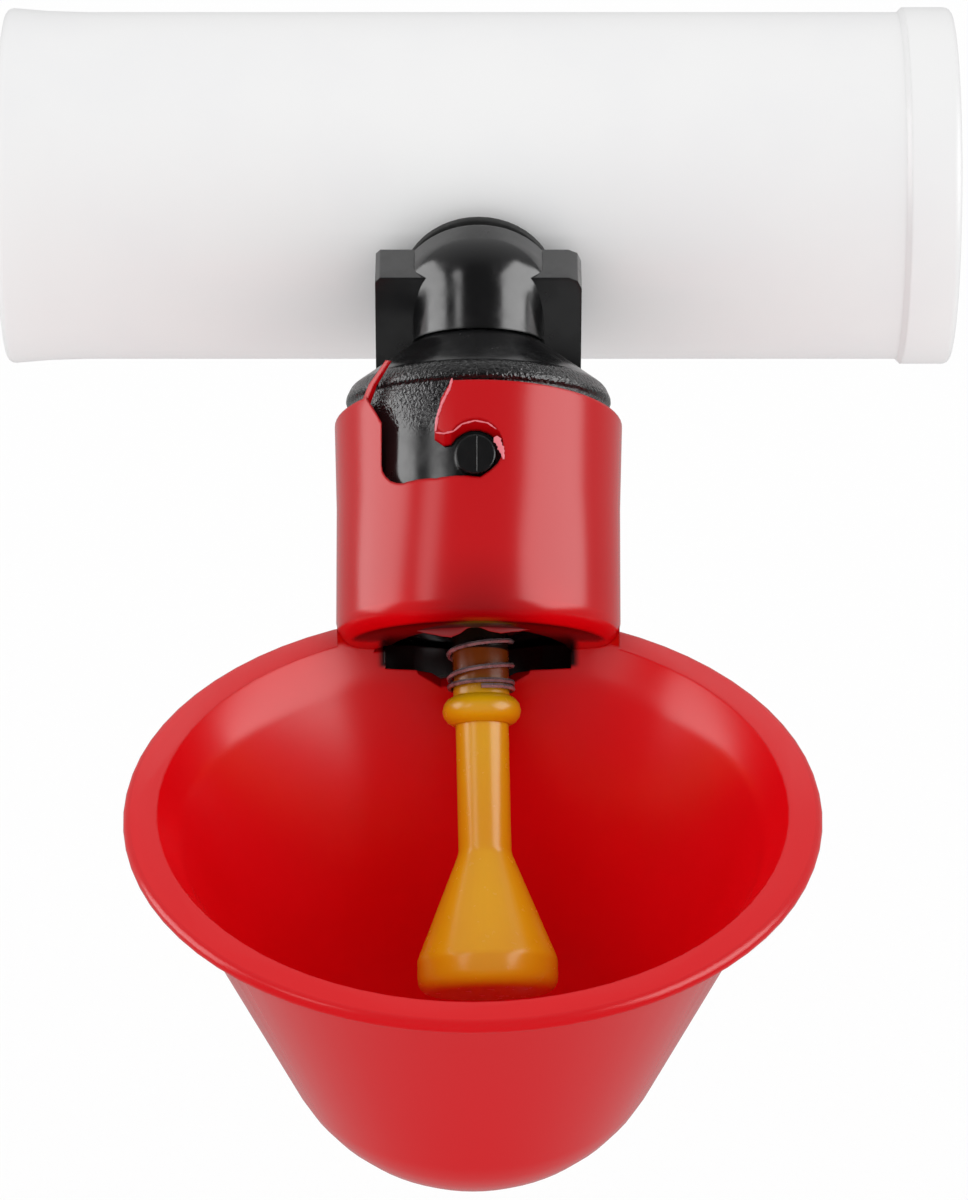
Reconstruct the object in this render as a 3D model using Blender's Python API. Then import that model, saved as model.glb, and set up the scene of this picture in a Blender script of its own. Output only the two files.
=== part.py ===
# Poultry drinking cup on a length of water pipe.
# A red cup hangs by a bayonet on a black elbow valve, and a sprung yellow trigger opens the valve.
# Metres, +Z up. The origin is the middle of the pipe's axis, +X runs along the pipe, -Y is the cup's side.

import math

import bmesh
import bpy
from mathutils import Matrix, Vector

MM = 0.001

# Clearance between pieces that touch
FIT = 0.3 * MM

# Water pipe
PIPE_LENGTH = 105.0 * MM
PIPE_RADIUS = 19.3 * MM
PIPE_WALL = 3.2 * MM
COLLAR_WIDTH = 6.0 * MM
COLLAR_RISE = 0.55 * MM
FLARE_WIDTH = 9.0 * MM
FLARE_RISE = 0.45 * MM
PIPE_EDGE_ROUND = 0.8 * MM
SOCKET_DEPTH = 6.0 * MM
SOCKET_STEP = 0.4 * MM

# Inlet of the valve body and its washer
SPIGOT_RADIUS = 4.9 * MM
SPIGOT_REACH = 2.6 * MM
INLET_BORE = 2.6 * MM
BOSS_RADIUS = 7.8 * MM
WASHER_RADIUS = 8.4 * MM
WASHER_FLANGE = 0.9 * MM
WASHER_COLLAR_RADIUS = 6.2 * MM
WASHER_THICKNESS = 2.1 * MM

# Elbow: the outlet leans this far from the vertical
NECK_TILT = math.radians(45.0)
ELBOW_OUT = 26.6 * MM
WING_SPAN = 22.2 * MM
WING_TOP = 5.1 * MM
WING_DROP = 7.4 * MM
WING_DEPTH = 6.0 * MM
WING_ROUND = 0.5 * MM
WING_CORNER = 1.4 * MM
BARREL_RADIUS = 6.3 * MM
BARREL_TOP = 4.45 * MM
BOSS_DEPTH = 5.3 * MM

# Distances down the outlet's axis, measured from the elbow
CONE_START = 3.35 * MM
CONE_END = 7.4 * MM
CONE_RADIUS = 11.7 * MM
SHOULDER_END = 10.5 * MM
SHOULDER_RADIUS = 14.25 * MM
SKIRT_RADIUS = 13.9 * MM
SKIRT_WALL = 1.5 * MM
SKIRT_END = 24.0 * MM
DOME_WALL = 2.0 * MM
INNER_TUBE_RADIUS = 7.6 * MM
CHAMBER_RADIUS = 4.5 * MM
SEAT_PLACE = 28.0 * MM

# Bayonet lugs
LUG_RADIUS = 2.1 * MM
LUG_PLACE = 19.2 * MM
LUG_SHIFT = 0.3 * MM
LUG_REACH = 15.6 * MM

# Seal and the ring that holds it
SEAL_RADIUS = 6.9 * MM
SEAL_HOLE = 1.35 * MM
SEAL_THICKNESS = 1.2 * MM
RETAINER_GRIP = 6.0 * MM
RETAINER_WALL = 1.7 * MM
RETAINER_FLOOR = 1.5 * MM
RETAINER_THROAT = 2.4 * MM
RETAINER_RECESS_RADIUS = 5.6 * MM
RETAINER_RECESS = 3.6 * MM
RETAINER_FLANGE = 2.6 * MM
RETAINER_FLANGE_RADIUS = 12.7 * MM

# Trigger, with its valve pin
TRIGGER_TOP = 33.6 * MM
TRIGGER_HEAD_RADIUS = 3.0 * MM
TRIGGER_COLLAR_TOP = 42.3 * MM
TRIGGER_COLLAR_HEIGHT = 3.2 * MM
TRIGGER_COLLAR_RADIUS = 4.2 * MM
TRIGGER_STEM_RADIUS = 2.82 * MM
TRIGGER_FLARE_START = 59.2 * MM
TRIGGER_BELL_RADIUS = 7.45 * MM
TRIGGER_BELL_PLACE = 70.6 * MM
TRIGGER_END = 74.2 * MM
TRIGGER_EDGE_ROUND = 2.2 * MM
PIN_RADIUS = 0.8 * MM
PIN_HEAD_RADIUS = 2.0 * MM
PIN_HEAD_THICKNESS = 0.8 * MM
PIN_GRIP = 8.0 * MM
PIN_FIT = 0.2 * MM

# The trigger rests leaning a little to the right
TRIGGER_LEAN = math.radians(1.3)

# Return spring
SPRING_RADIUS = 3.42 * MM
SPRING_WIRE = 0.27 * MM
SPRING_CLOSED_PITCH = 0.62 * MM
SPRING_CLOSED_TURNS = 1.6
SPRING_ACTIVE_TURNS = 3.0

# Cup: bowl
RIM_RADIUS = 36.0 * MM
RIM_THICKNESS = 1.6 * MM
RIM_INNER_RADIUS = 32.5 * MM
BOWL_TOP_RADIUS = 33.3 * MM
BOWL_DEPTH = 44.9 * MM
BOWL_WALL = 1.5 * MM
BOWL_SLOPE = math.radians(23.1)
LEDGE_SLOPE = math.radians(33.4)
LEDGE_ROUND = 3.5 * MM
RIM_EDGE_ROUND = 0.7 * MM
RIM_FILLET = 1.2 * MM
RIM_DROP = 26.5 * MM
NECK_INSET = 8.0 * MM
RIM_SHIFT = -0.55 * MM

# Cup: neck
NECK_RADIUS = 15.2 * MM
NECK_LIP_RADIUS = 15.45 * MM
NECK_LIP_START = 13.0 * MM
NECK_LIP_END = 22.0 * MM
NECK_BORE = 14.2 * MM
NECK_LOWER_BORE = 13.2 * MM
NECK_STEP_PLACE = 26.0 * MM
MOUTH_PLACE = 13.0 * MM
MOUTH_SLANT = math.radians(6.7)
HOOD_PLACE = 36.8 * MM
HOOD_WALL = 1.5 * MM
HOOD_ROUND = 2.4 * MM
POCKET_END = 45.0 * MM

# Cup: hole in the hood, and the notch below it
HOLE_HALF_WIDTH = 10.4 * MM
POCKET_RADIUS = 10.6 * MM
HOLE_NEAR = 10.6 * MM
HOLE_FAR = 8.0 * MM
LEDGE_DROP = 1.3 * MM
LEDGE_FALL = 0.3 * MM
NOTCH_HALF_WIDTH = 7.0 * MM
NOTCH_DROP = 5.4 * MM

# Cup: bayonet slots, as sideways distance and place down the neck
CHANNEL_SIDE = 10.2 * MM
CHANNEL_MOUTH_SIDE = 12.6 * MM
CHANNEL_FLARE_END = 15.2 * MM
CHANNEL_CORNER = 2.3 * MM
SLOT_FLOOR = 21.6 * MM
SEAT_RADIUS = 2.95 * MM
SEAT_RISE = 0.85 * MM
HOOK_SIDE = 4.6 * MM
HOOK_TIP = 16.2 * MM
HOOK_ROOT_SIDE = 2.5 * MM
HOOK_ROOT = 11.2 * MM

# Cup: moulding flash left standing at the slot's mouth
FLASH_WIDTH = 0.8 * MM
FLASH_THICKNESS = 0.5 * MM
FLASH_STATIONS = (
    (-12.5 * MM, 14.95 * MM, 13.6 * MM, 1.3),
    (-11.2 * MM, 15.05 * MM, 10.6 * MM, 1.0),
    (-9.5 * MM, 14.8 * MM, 8.2 * MM, 0.7),
)

# Facets around the turned pieces
FINE = 72
ROUND = 48
SMALL = 24
WIRE_SIDES = 6
TURN_STEPS = 18
MERGE_DISTANCE = 0.003 * MM
SHARP_ANGLE = math.radians(35.0)

# Sizes that follow from the ones above
WASHER_SEAT = PIPE_RADIUS + FIT
BOSS_BACK = WASHER_SEAT + WASHER_THICKNESS + FIT
WING_FRONT = BOSS_BACK + 0.3 * MM + WING_DEPTH
PIVOT_PLACE = SEAT_PLACE
SEAL_TOP = SEAT_PLACE + FIT
SEAL_BOTTOM = SEAL_TOP + SEAL_THICKNESS
RETAINER_SEAT = SEAL_BOTTOM + FIT
RETAINER_STEP = RETAINER_SEAT + RETAINER_FLOOR
RETAINER_END = RETAINER_STEP + RETAINER_RECESS
COLLAR_BOTTOM = TRIGGER_COLLAR_TOP + TRIGGER_COLLAR_HEIGHT
RIM_CENTRE_OUT = ELBOW_OUT + RIM_DROP * math.tan(NECK_TILT) + RIM_RADIUS - NECK_INSET


def remove_everything():
    """Clears the scene."""
    for thing in list(bpy.data.objects):
        bpy.data.objects.remove(thing, do_unlink=True)


def plastic(name, colour, roughness=0.35, metallic=0.0):
    """Makes a plain finish."""
    finish = bpy.data.materials.new(name)
    finish.use_nodes = True
    shader = finish.node_tree.nodes["Principled BSDF"]
    shader.inputs["Base Color"].default_value = (*colour, 1.0)
    shader.inputs["Roughness"].default_value = roughness
    shader.inputs["Metallic"].default_value = metallic
    return finish


def add_mesh(name, shape, finish=None):
    """Turns a bmesh into an object, shaded smooth with its sharp edges kept."""
    bmesh.ops.remove_doubles(shape, verts=shape.verts, dist=1e-7)
    bmesh.ops.dissolve_degenerate(shape, edges=shape.edges, dist=1e-8)
    bmesh.ops.recalc_face_normals(shape, faces=shape.faces)
    bmesh.ops.triangulate(shape, faces=shape.faces)
    mesh = bpy.data.meshes.new(name)
    shape.to_mesh(mesh)
    shape.free()
    mesh.shade_smooth()
    mesh.set_sharp_from_angle(angle=SHARP_ANGLE)
    thing = bpy.data.objects.new(name, mesh)
    bpy.context.collection.objects.link(thing)
    if finish:
        mesh.materials.append(finish)
    return thing


def arc(centre, radius, start, end, steps):
    """Points on an arc in the profile plane, angles in degrees."""
    points = []
    for step in range(steps + 1):
        angle = math.radians(start + (end - start) * step / steps)
        points.append((centre[0] + radius * math.cos(angle), centre[1] + radius * math.sin(angle)))
    return points


def turn(name, profile, segments, finish=None, closed=False, phase=0.0):
    """Turns a profile of (radius, height) points about Z, from a start angle. A closed profile makes a ring."""
    shape = bmesh.new()
    points = [shape.verts.new((radius, 0.0, height)) for radius, height in profile]
    edges = [shape.edges.new(pair) for pair in zip(points, points[1:])]
    if closed:
        edges.append(shape.edges.new((points[-1], points[0])))
    bmesh.ops.spin(
        shape,
        geom=points + edges,
        cent=(0.0, 0.0, 0.0),
        axis=(0.0, 0.0, 1.0),
        angle=2.0 * math.pi,
        steps=segments,
        use_merge=True,
    )
    bmesh.ops.rotate(shape, verts=shape.verts, matrix=Matrix.Rotation(phase, 3, "Z"))
    return add_mesh(name, shape, finish)


def rod(name, radius, low, high, segments, phase=0.0):
    """A cylinder about Z."""
    return turn(name, [(0.0, high), (radius, high), (radius, low), (0.0, low)], segments, phase=phase)


def prism(name, outline, low, high, finish=None):
    """Extrudes an outline of (x, y) points along Z."""
    shape = bmesh.new()
    face = shape.faces.new([shape.verts.new((x, y, low)) for x, y in outline])
    grown = bmesh.ops.extrude_face_region(shape, geom=[face])
    top = [item for item in grown["geom"] if isinstance(item, bmesh.types.BMVert)]
    bmesh.ops.translate(shape, verts=top, vec=(0.0, 0.0, high - low))
    return add_mesh(name, shape, finish)


def block(name, low, high, rounding=0.0, finish=None):
    """A box between two corners, with rounded edges if asked."""
    size = Vector(high) - Vector(low)
    middle = (Vector(high) + Vector(low)) / 2.0
    shape = bmesh.new()
    place = Matrix.Translation(middle) @ Matrix.Diagonal((*size, 1.0))
    bmesh.ops.create_cube(shape, size=1.0, matrix=place)
    if rounding:
        bmesh.ops.bevel(
            shape,
            geom=shape.edges,
            offset=rounding,
            affect="EDGES",
            segments=3,
            profile=0.5,
            material=-1,
        )
    return add_mesh(name, shape, finish)


def combine(target, tool, operation):
    """Cuts with a tool or joins it on, and hides the tool."""
    if target.modifiers:
        weld = target.modifiers.new("Merge before " + tool.name, "WELD")
        weld.merge_threshold = MERGE_DISTANCE
        target.modifiers.new("Flat faces before " + tool.name, "TRIANGULATE")
    step = target.modifiers.new(operation.title() + " " + tool.name, "BOOLEAN")
    step.operation = operation
    step.solver = "EXACT"
    step.object = tool
    tool.hide_render = True
    tool.display_type = "WIRE"


def cut(target, *tools):
    """Cuts each tool from the target."""
    for tool in tools:
        combine(target, tool, "DIFFERENCE")


def fuse(target, *tools):
    """Joins each tool to the target."""
    for tool in tools:
        combine(target, tool, "UNION")


def frame_empty(name, place, tilt=0.0):
    """An empty that carries pieces, leaning back by the tilt."""
    empty = bpy.data.objects.new(name, None)
    empty.location = place
    empty.rotation_euler = (-tilt, 0.0, 0.0)
    bpy.context.collection.objects.link(empty)
    return empty


def carry(parent, *things):
    """Parents pieces to an empty, in its own coordinates."""
    for thing in things:
        thing.parent = parent


def along_neck(place):
    """World position of a point on the outlet's axis."""
    return Vector((0.0, -ELBOW_OUT - place * math.sin(NECK_TILT), -place * math.cos(NECK_TILT)))


def down(points):
    """Profile points given as (radius, place down the neck), as heights in the neck's frame."""
    return [(radius, -place) for radius, place in points]


def rounded(corners, radius, steps=3):
    """Rounds every inner corner of an open line of profile points that bends."""
    points = [corners[0]]
    for before, corner, after in zip(corners, corners[1:], corners[2:]):
        here = Vector(corner)
        arm_in = Vector(before) - here
        arm_out = Vector(after) - here
        bend = math.pi - arm_in.angle(arm_out)
        if bend < math.radians(3.0):
            points.append(corner)
            continue
        reach = min(radius * math.tan(bend / 2.0), arm_in.length * 0.49, arm_out.length * 0.49)
        start = here + arm_in.normalized() * reach
        end = here + arm_out.normalized() * reach
        for step in range(steps + 1):
            share = step / steps
            blend = start * (1 - share) ** 2 + here * 2 * share * (1 - share) + end * share ** 2
            points.append(tuple(blend))
    points.append(corners[-1])
    return points


# Water pipe

def make_pipe(finish):
    """The pipe, with a collar at one end, a slight flare at the other and a side hole."""
    half = PIPE_LENGTH / 2.0
    bore = PIPE_RADIUS - PIPE_WALL
    socket = bore + SOCKET_STEP
    collar = PIPE_RADIUS + COLLAR_RISE
    flare = PIPE_RADIUS + FLARE_RISE
    outside = [(socket + PIPE_EDGE_ROUND, half)]
    outside += arc((collar - PIPE_EDGE_ROUND, half - PIPE_EDGE_ROUND), PIPE_EDGE_ROUND, 90, 0, 4)
    outside += [
        (collar, half - COLLAR_WIDTH + COLLAR_RISE),
        (PIPE_RADIUS, half - COLLAR_WIDTH),
        (PIPE_RADIUS, -half + FLARE_WIDTH),
        (PIPE_RADIUS + FLARE_RISE * 0.3, -half + FLARE_WIDTH * 0.5),
    ]
    outside += arc((flare - PIPE_EDGE_ROUND, -half + PIPE_EDGE_ROUND), PIPE_EDGE_ROUND, 0, -90, 4)
    inside = [
        (socket, -half),
        (socket, -half + SOCKET_DEPTH),
        (bore, -half + SOCKET_DEPTH),
        (bore, half - SOCKET_DEPTH),
        (socket, half - SOCKET_DEPTH),
        (socket, half),
    ]
    pipe = turn("pipe", outside + inside, FINE, finish, closed=True)
    pipe.rotation_euler = (0.0, math.radians(90.0), 0.0)
    hole = rod("pipe_hole_cutter", SPIGOT_RADIUS + FIT, 0.0, PIPE_RADIUS * 1.5, SMALL)
    hole.rotation_euler = (math.radians(90.0), 0.0, 0.0)
    cut(pipe, hole)
    return pipe


def make_washer(finish):
    """The rubber ring between the valve body and the pipe, its back hollowed to sit on the pipe."""
    inner = SPIGOT_RADIUS + FIT
    front = WASHER_SEAT + WASHER_THICKNESS
    back = PIPE_RADIUS * 0.8
    flange_back = front - WASHER_FLANGE
    edge = rounded([
        (inner, front),
        (WASHER_RADIUS, front),
        (WASHER_RADIUS, flange_back),
        (WASHER_COLLAR_RADIUS, flange_back),
        (WASHER_COLLAR_RADIUS, back),
        (inner, back),
    ], 0.25 * MM, 2)
    washer = turn("inlet_washer", edge, ROUND, finish, closed=True)
    washer.rotation_euler = (math.radians(90.0), 0.0, 0.0)
    saddle = rod("washer_saddle_cutter", WASHER_SEAT, -PIPE_RADIUS, PIPE_RADIUS, FINE)
    saddle.rotation_euler = (0.0, math.radians(90.0), 0.0)
    cut(washer, saddle)
    return washer


# Valve body

def make_valve_body(finish, neck):
    """The black elbow: spigot, boss, wings, barrel, dome, skirt and bayonet lugs in one moulding."""
    dome = [(0.0, BARREL_TOP), (BARREL_RADIUS, BARREL_TOP), (BARREL_RADIUS, -CONE_START)]
    dome += down(rounded([
        (CONE_RADIUS, CONE_END),
        (SHOULDER_RADIUS - 0.5 * MM, CONE_END + 1.5 * MM),
        (SHOULDER_RADIUS, SHOULDER_END - 0.5 * MM),
        (SHOULDER_RADIUS, SHOULDER_END),
        (SKIRT_RADIUS, SHOULDER_END + FIT),
    ], 1.5 * MM))
    ceiling = SHOULDER_END + DOME_WALL
    inner = SKIRT_RADIUS - SKIRT_WALL
    dome += down([
        (SKIRT_RADIUS, SKIRT_END - 0.5 * MM),
        (SKIRT_RADIUS - 0.5 * MM, SKIRT_END),
        (inner, SKIRT_END),
        (inner, ceiling),
        (INNER_TUBE_RADIUS, ceiling),
        (INNER_TUBE_RADIUS, SEAT_PLACE),
        (0.0, SEAT_PLACE),
    ])
    body = turn("valve_body", dome, FINE, finish, phase=0.011)

    spigot_end = PIPE_RADIUS - PIPE_WALL - SPIGOT_REACH
    inlet_tube = turn("inlet_tube_tool", [
        (0.0, BOSS_BACK + BOSS_DEPTH),
        (BOSS_RADIUS, BOSS_BACK + BOSS_DEPTH),
        (BOSS_RADIUS, BOSS_BACK),
        (SPIGOT_RADIUS, BOSS_BACK),
        (SPIGOT_RADIUS, spigot_end),
        (0.0, spigot_end),
    ], ROUND, phase=0.017)
    inlet_tube.rotation_euler = (math.radians(90.0), 0.0, 0.0)
    half = WING_SPAN / 2.0
    outline = [(-half, -WING_DROP), (half, -WING_DROP), (half, WING_TOP - WING_CORNER)]
    outline += [(half - 0.3 * WING_CORNER, WING_TOP - 0.3 * WING_CORNER), (half - WING_CORNER, WING_TOP)]
    outline += [(-half + WING_ROUND, WING_TOP), (-half, WING_TOP - WING_ROUND)]
    wings = prism("wings_tool", outline, WING_FRONT - WING_DEPTH + 0.07 * MM, WING_FRONT)
    wings.rotation_euler = (math.radians(90.0), 0.0, 0.0)
    behind = block(
        "elbow_back_cutter",
        (-12.0 * MM, -BOSS_BACK - 0.2 * MM, -12.0 * MM),
        (12.0 * MM, -BOSS_BACK + 8.0 * MM, 12.0 * MM),
    )
    carry(neck, body)
    for number, side in enumerate((-1.0, 1.0)):
        lug = rod("lug_tool_%d" % (number + 1), LUG_RADIUS, SKIRT_RADIUS - 0.9 * MM, LUG_REACH, SMALL, 0.041)
        lug.location = (side * LUG_SHIFT, 0.0, -LUG_PLACE)
        lug.rotation_euler = (math.radians(-90.0) * side, 0.0, 0.0)
        carry(neck, lug)
        fuse(body, lug)
    fuse(inlet_tube, wings)
    cut(body, behind)
    fuse(body, inlet_tube)

    inlet = rod("inlet_bore_cutter", INLET_BORE, PIPE_RADIUS * 0.5, ELBOW_OUT, SMALL, 0.031)
    inlet.rotation_euler = (math.radians(90.0), 0.0, 0.0)
    outlet = turn("outlet_bore_cutter", down([
        (0.0, -1.5 * MM),
        (INLET_BORE, -1.5 * MM),
        (INLET_BORE, CONE_END),
        (CHAMBER_RADIUS, CONE_END + CHAMBER_RADIUS - INLET_BORE),
        (CHAMBER_RADIUS, SEAT_PLACE + 1.0 * MM),
        (0.0, SEAT_PLACE + 1.0 * MM),
    ]), SMALL, phase=0.023)
    carry(neck, outlet)
    cut(body, inlet, outlet)
    return body


def make_seal(finish, neck):
    """The rubber disc that the pin's head closes on."""
    seal = turn("seat_seal", down([
        (SEAL_HOLE, SEAL_TOP),
        (SEAL_RADIUS, SEAL_TOP),
        (SEAL_RADIUS, SEAL_BOTTOM),
        (SEAL_HOLE, SEAL_BOTTOM),
    ]), ROUND, finish, closed=True)
    carry(neck, seal)
    return seal


def make_retainer(finish, neck):
    """The stepped ring on the inner tube that clamps the seal and backs the spring."""
    grip = INNER_TUBE_RADIUS + FIT
    sleeve = grip + RETAINER_WALL
    top = RETAINER_SEAT - RETAINER_GRIP
    flange_top = RETAINER_END - RETAINER_FLANGE
    outside = rounded([
        (grip, top),
        (sleeve, top),
        (sleeve, flange_top),
        (RETAINER_FLANGE_RADIUS, flange_top),
        (RETAINER_FLANGE_RADIUS, RETAINER_END),
        (RETAINER_RECESS_RADIUS, RETAINER_END),
        (RETAINER_RECESS_RADIUS, RETAINER_STEP),
        (RETAINER_THROAT, RETAINER_STEP),
    ], 0.5 * MM, 2)
    inside = [(RETAINER_THROAT, RETAINER_SEAT), (grip, RETAINER_SEAT)]
    retainer = turn("seal_retainer", down(outside + inside), FINE, finish, closed=True)
    carry(neck, retainer)
    return retainer


# Trigger, pin and spring

def from_pivot(points):
    """Profile points given as (radius, place down the neck), as heights in the pivot's frame."""
    return [(radius, PIVOT_PLACE - place) for radius, place in points]


def make_trigger(finish, pivot):
    """The yellow trigger: head, collar, stem and bell, with a blind hole for the pin."""
    hole = PIN_RADIUS + PIN_FIT
    collar_middle = TRIGGER_COLLAR_TOP + TRIGGER_COLLAR_HEIGHT / 2.0
    collar_round = TRIGGER_COLLAR_HEIGHT / 2.0
    outline = [(hole, TRIGGER_TOP), (TRIGGER_HEAD_RADIUS - 0.3 * MM, TRIGGER_TOP)]
    outline += [(TRIGGER_HEAD_RADIUS, TRIGGER_TOP + 0.3 * MM), (TRIGGER_HEAD_RADIUS, TRIGGER_COLLAR_TOP)]
    outline += [
        (radius, place)
        for radius, place in arc((TRIGGER_COLLAR_RADIUS - collar_round, collar_middle), collar_round, -75, 75, 6)
    ]
    outline += rounded([
        (TRIGGER_STEM_RADIUS, COLLAR_BOTTOM - 0.1 * MM),
        (TRIGGER_STEM_RADIUS, COLLAR_BOTTOM + 0.6 * MM),
        (TRIGGER_STEM_RADIUS, TRIGGER_FLARE_START),
        (TRIGGER_BELL_RADIUS, TRIGGER_BELL_PLACE),
        (TRIGGER_BELL_RADIUS, TRIGGER_END),
        (0.0, TRIGGER_END),
    ], TRIGGER_EDGE_ROUND, 5)
    outline = [(radius, place) for radius, place in outline]
    grip_end = TRIGGER_TOP + PIN_GRIP + FIT
    outline = [(0.0, grip_end), (hole, grip_end)] + outline
    trigger = turn("trigger", from_pivot(outline), ROUND, finish)
    carry(pivot, trigger)
    return trigger


def make_pin(finish, pivot):
    """The steel pin: a flat head above the seal and a shank held in the trigger."""
    lift = 0.25 * MM
    pin = turn("valve_pin", from_pivot([
        (0.0, PIVOT_PLACE - PIN_HEAD_THICKNESS),
        (PIN_HEAD_RADIUS * 0.8, PIVOT_PLACE - PIN_HEAD_THICKNESS),
        (PIN_HEAD_RADIUS, PIVOT_PLACE - PIN_HEAD_THICKNESS + 0.3 * MM),
        (PIN_HEAD_RADIUS, PIVOT_PLACE - lift),
        (PIN_RADIUS * 1.5, PIVOT_PLACE),
        (PIN_RADIUS, PIVOT_PLACE + 0.2 * MM),
        (PIN_RADIUS, TRIGGER_TOP + PIN_GRIP - 0.2 * MM),
        (PIN_RADIUS - 0.2 * MM, TRIGGER_TOP + PIN_GRIP),
        (0.0, TRIGGER_TOP + PIN_GRIP),
    ]), SMALL, finish)
    carry(pivot, pin)
    return pin


def spring_line():
    """Points along the spring's wire, from the trigger's collar up to the retainer."""
    low = PIVOT_PLACE - TRIGGER_COLLAR_TOP + FIT + SPRING_WIRE
    high = PIVOT_PLACE - RETAINER_STEP - FIT - SPRING_WIRE
    closed_rise = SPRING_CLOSED_PITCH * SPRING_CLOSED_TURNS
    pitch = (high - low - 2.0 * closed_rise) / SPRING_ACTIVE_TURNS
    total_turns = 2.0 * SPRING_CLOSED_TURNS + SPRING_ACTIVE_TURNS
    steps = round(total_turns * TURN_STEPS)
    points = []
    for step in range(steps + 1):
        turns = total_turns * step / steps
        in_low = min(turns, SPRING_CLOSED_TURNS)
        in_active = min(max(turns - SPRING_CLOSED_TURNS, 0.0), SPRING_ACTIVE_TURNS)
        in_high = max(turns - SPRING_CLOSED_TURNS - SPRING_ACTIVE_TURNS, 0.0)
        height = low + (in_low + in_high) * SPRING_CLOSED_PITCH + in_active * pitch
        angle = 2.0 * math.pi * turns - math.pi / 2.0
        points.append(Vector((SPRING_RADIUS * math.cos(angle), SPRING_RADIUS * math.sin(angle), height)))
    return points


def make_spring(finish, pivot):
    """The compression spring between the trigger's collar and the retainer."""
    shape = bmesh.new()
    rings = []
    line = spring_line()
    for index, point in enumerate(line):
        before = line[max(index - 1, 0)]
        after = line[min(index + 1, len(line) - 1)]
        ahead = (after - before).normalized()
        outward = Vector((point.x, point.y, 0.0)).normalized()
        across = ahead.cross(outward).normalized()
        outward = across.cross(ahead)
        ring = []
        for side in range(WIRE_SIDES):
            angle = 2.0 * math.pi * side / WIRE_SIDES
            offset = outward * math.cos(angle) + across * math.sin(angle)
            ring.append(shape.verts.new(point + offset * SPRING_WIRE))
        rings.append(ring)
    for first, second in zip(rings, rings[1:]):
        for side in range(WIRE_SIDES):
            after = (side + 1) % WIRE_SIDES
            shape.faces.new((first[side], first[after], second[after], second[side]))
    shape.faces.new(list(reversed(rings[0])))
    shape.faces.new(rings[-1])
    spring = add_mesh("return_spring", shape, finish)
    carry(pivot, spring)
    return spring


# Cup

def bowl_ball(top_radius, depth):
    """Radius and height of the ball that rounds off a cone of the bowl's slope."""
    radius = (top_radius - depth * math.tan(BOWL_SLOPE)) * math.cos(BOWL_SLOPE) / (1.0 - math.sin(BOWL_SLOPE))
    return radius, radius - depth


def ball_end(radius, height):
    """Profile points of the bowl's round bottom, from the cone's edge to the axis."""
    return arc((0.0, height), radius, -math.degrees(BOWL_SLOPE), -90.0, 9)


def wall_radius(top_radius, height):
    """Radius of the cone at a height below the rim."""
    return top_radius + height * math.tan(BOWL_SLOPE)


def bowl_outside():
    """Outer profile of the bowl with its rim, from the middle of the top to the bottom."""
    radius, height = bowl_ball(BOWL_TOP_RADIUS, BOWL_DEPTH)
    rim = [(RIM_INNER_RADIUS - 1.0 * MM, 0.0)]
    rim += arc((RIM_RADIUS - RIM_EDGE_ROUND, -RIM_EDGE_ROUND), RIM_EDGE_ROUND, 90, 0, 3)
    rim += arc((RIM_RADIUS - RIM_EDGE_ROUND, -RIM_THICKNESS + RIM_EDGE_ROUND), RIM_EDGE_ROUND, 0, -90, 3)
    fillet_end = -RIM_THICKNESS - RIM_FILLET
    corner = [
        (wall_radius(BOWL_TOP_RADIUS, -RIM_THICKNESS) + 3.0 * MM, -RIM_THICKNESS),
        (wall_radius(BOWL_TOP_RADIUS, -RIM_THICKNESS), -RIM_THICKNESS),
        (wall_radius(BOWL_TOP_RADIUS, fillet_end - 1.0 * MM), fillet_end - 1.0 * MM),
    ]
    return [(0.0, 0.0)] + rim + rounded(corner, RIM_FILLET)[1:] + ball_end(radius, height)


def bowl_inside(top):
    """Inner profile of the bowl, run up past the rim to a height."""
    inner_top = BOWL_TOP_RADIUS - BOWL_WALL / math.cos(BOWL_SLOPE)
    radius, height = bowl_ball(BOWL_TOP_RADIUS, BOWL_DEPTH)
    bend = (inner_top - RIM_INNER_RADIUS) / (math.tan(LEDGE_SLOPE) - math.tan(BOWL_SLOPE))
    past = 0.2 * MM
    start = RIM_INNER_RADIUS + past * math.tan(LEDGE_SLOPE)
    corners = [
        (start, past),
        (wall_radius(inner_top, bend), bend),
        (wall_radius(inner_top, 2.0 * bend), 2.0 * bend),
    ]
    profile = [(0.0, top), (start, top)]
    return profile + rounded(corners, LEDGE_ROUND * 3.0) + ball_end(radius - BOWL_WALL, height)


def bowl_guard(top):
    """Solid that keeps the bowl's back wall when the neck's bore is cut past it."""
    radius, height = bowl_ball(BOWL_TOP_RADIUS, BOWL_DEPTH)
    return [(0.0, top), (BOWL_TOP_RADIUS, top), (BOWL_TOP_RADIUS, 0.0)] + ball_end(radius, height)


def neck_end(radius, end, rounding):
    """Outer corner of a turned end, rounded."""
    return arc((radius - rounding, -end + rounding), rounding, 0, -90, 4) + [(0.0, -end)]


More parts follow.
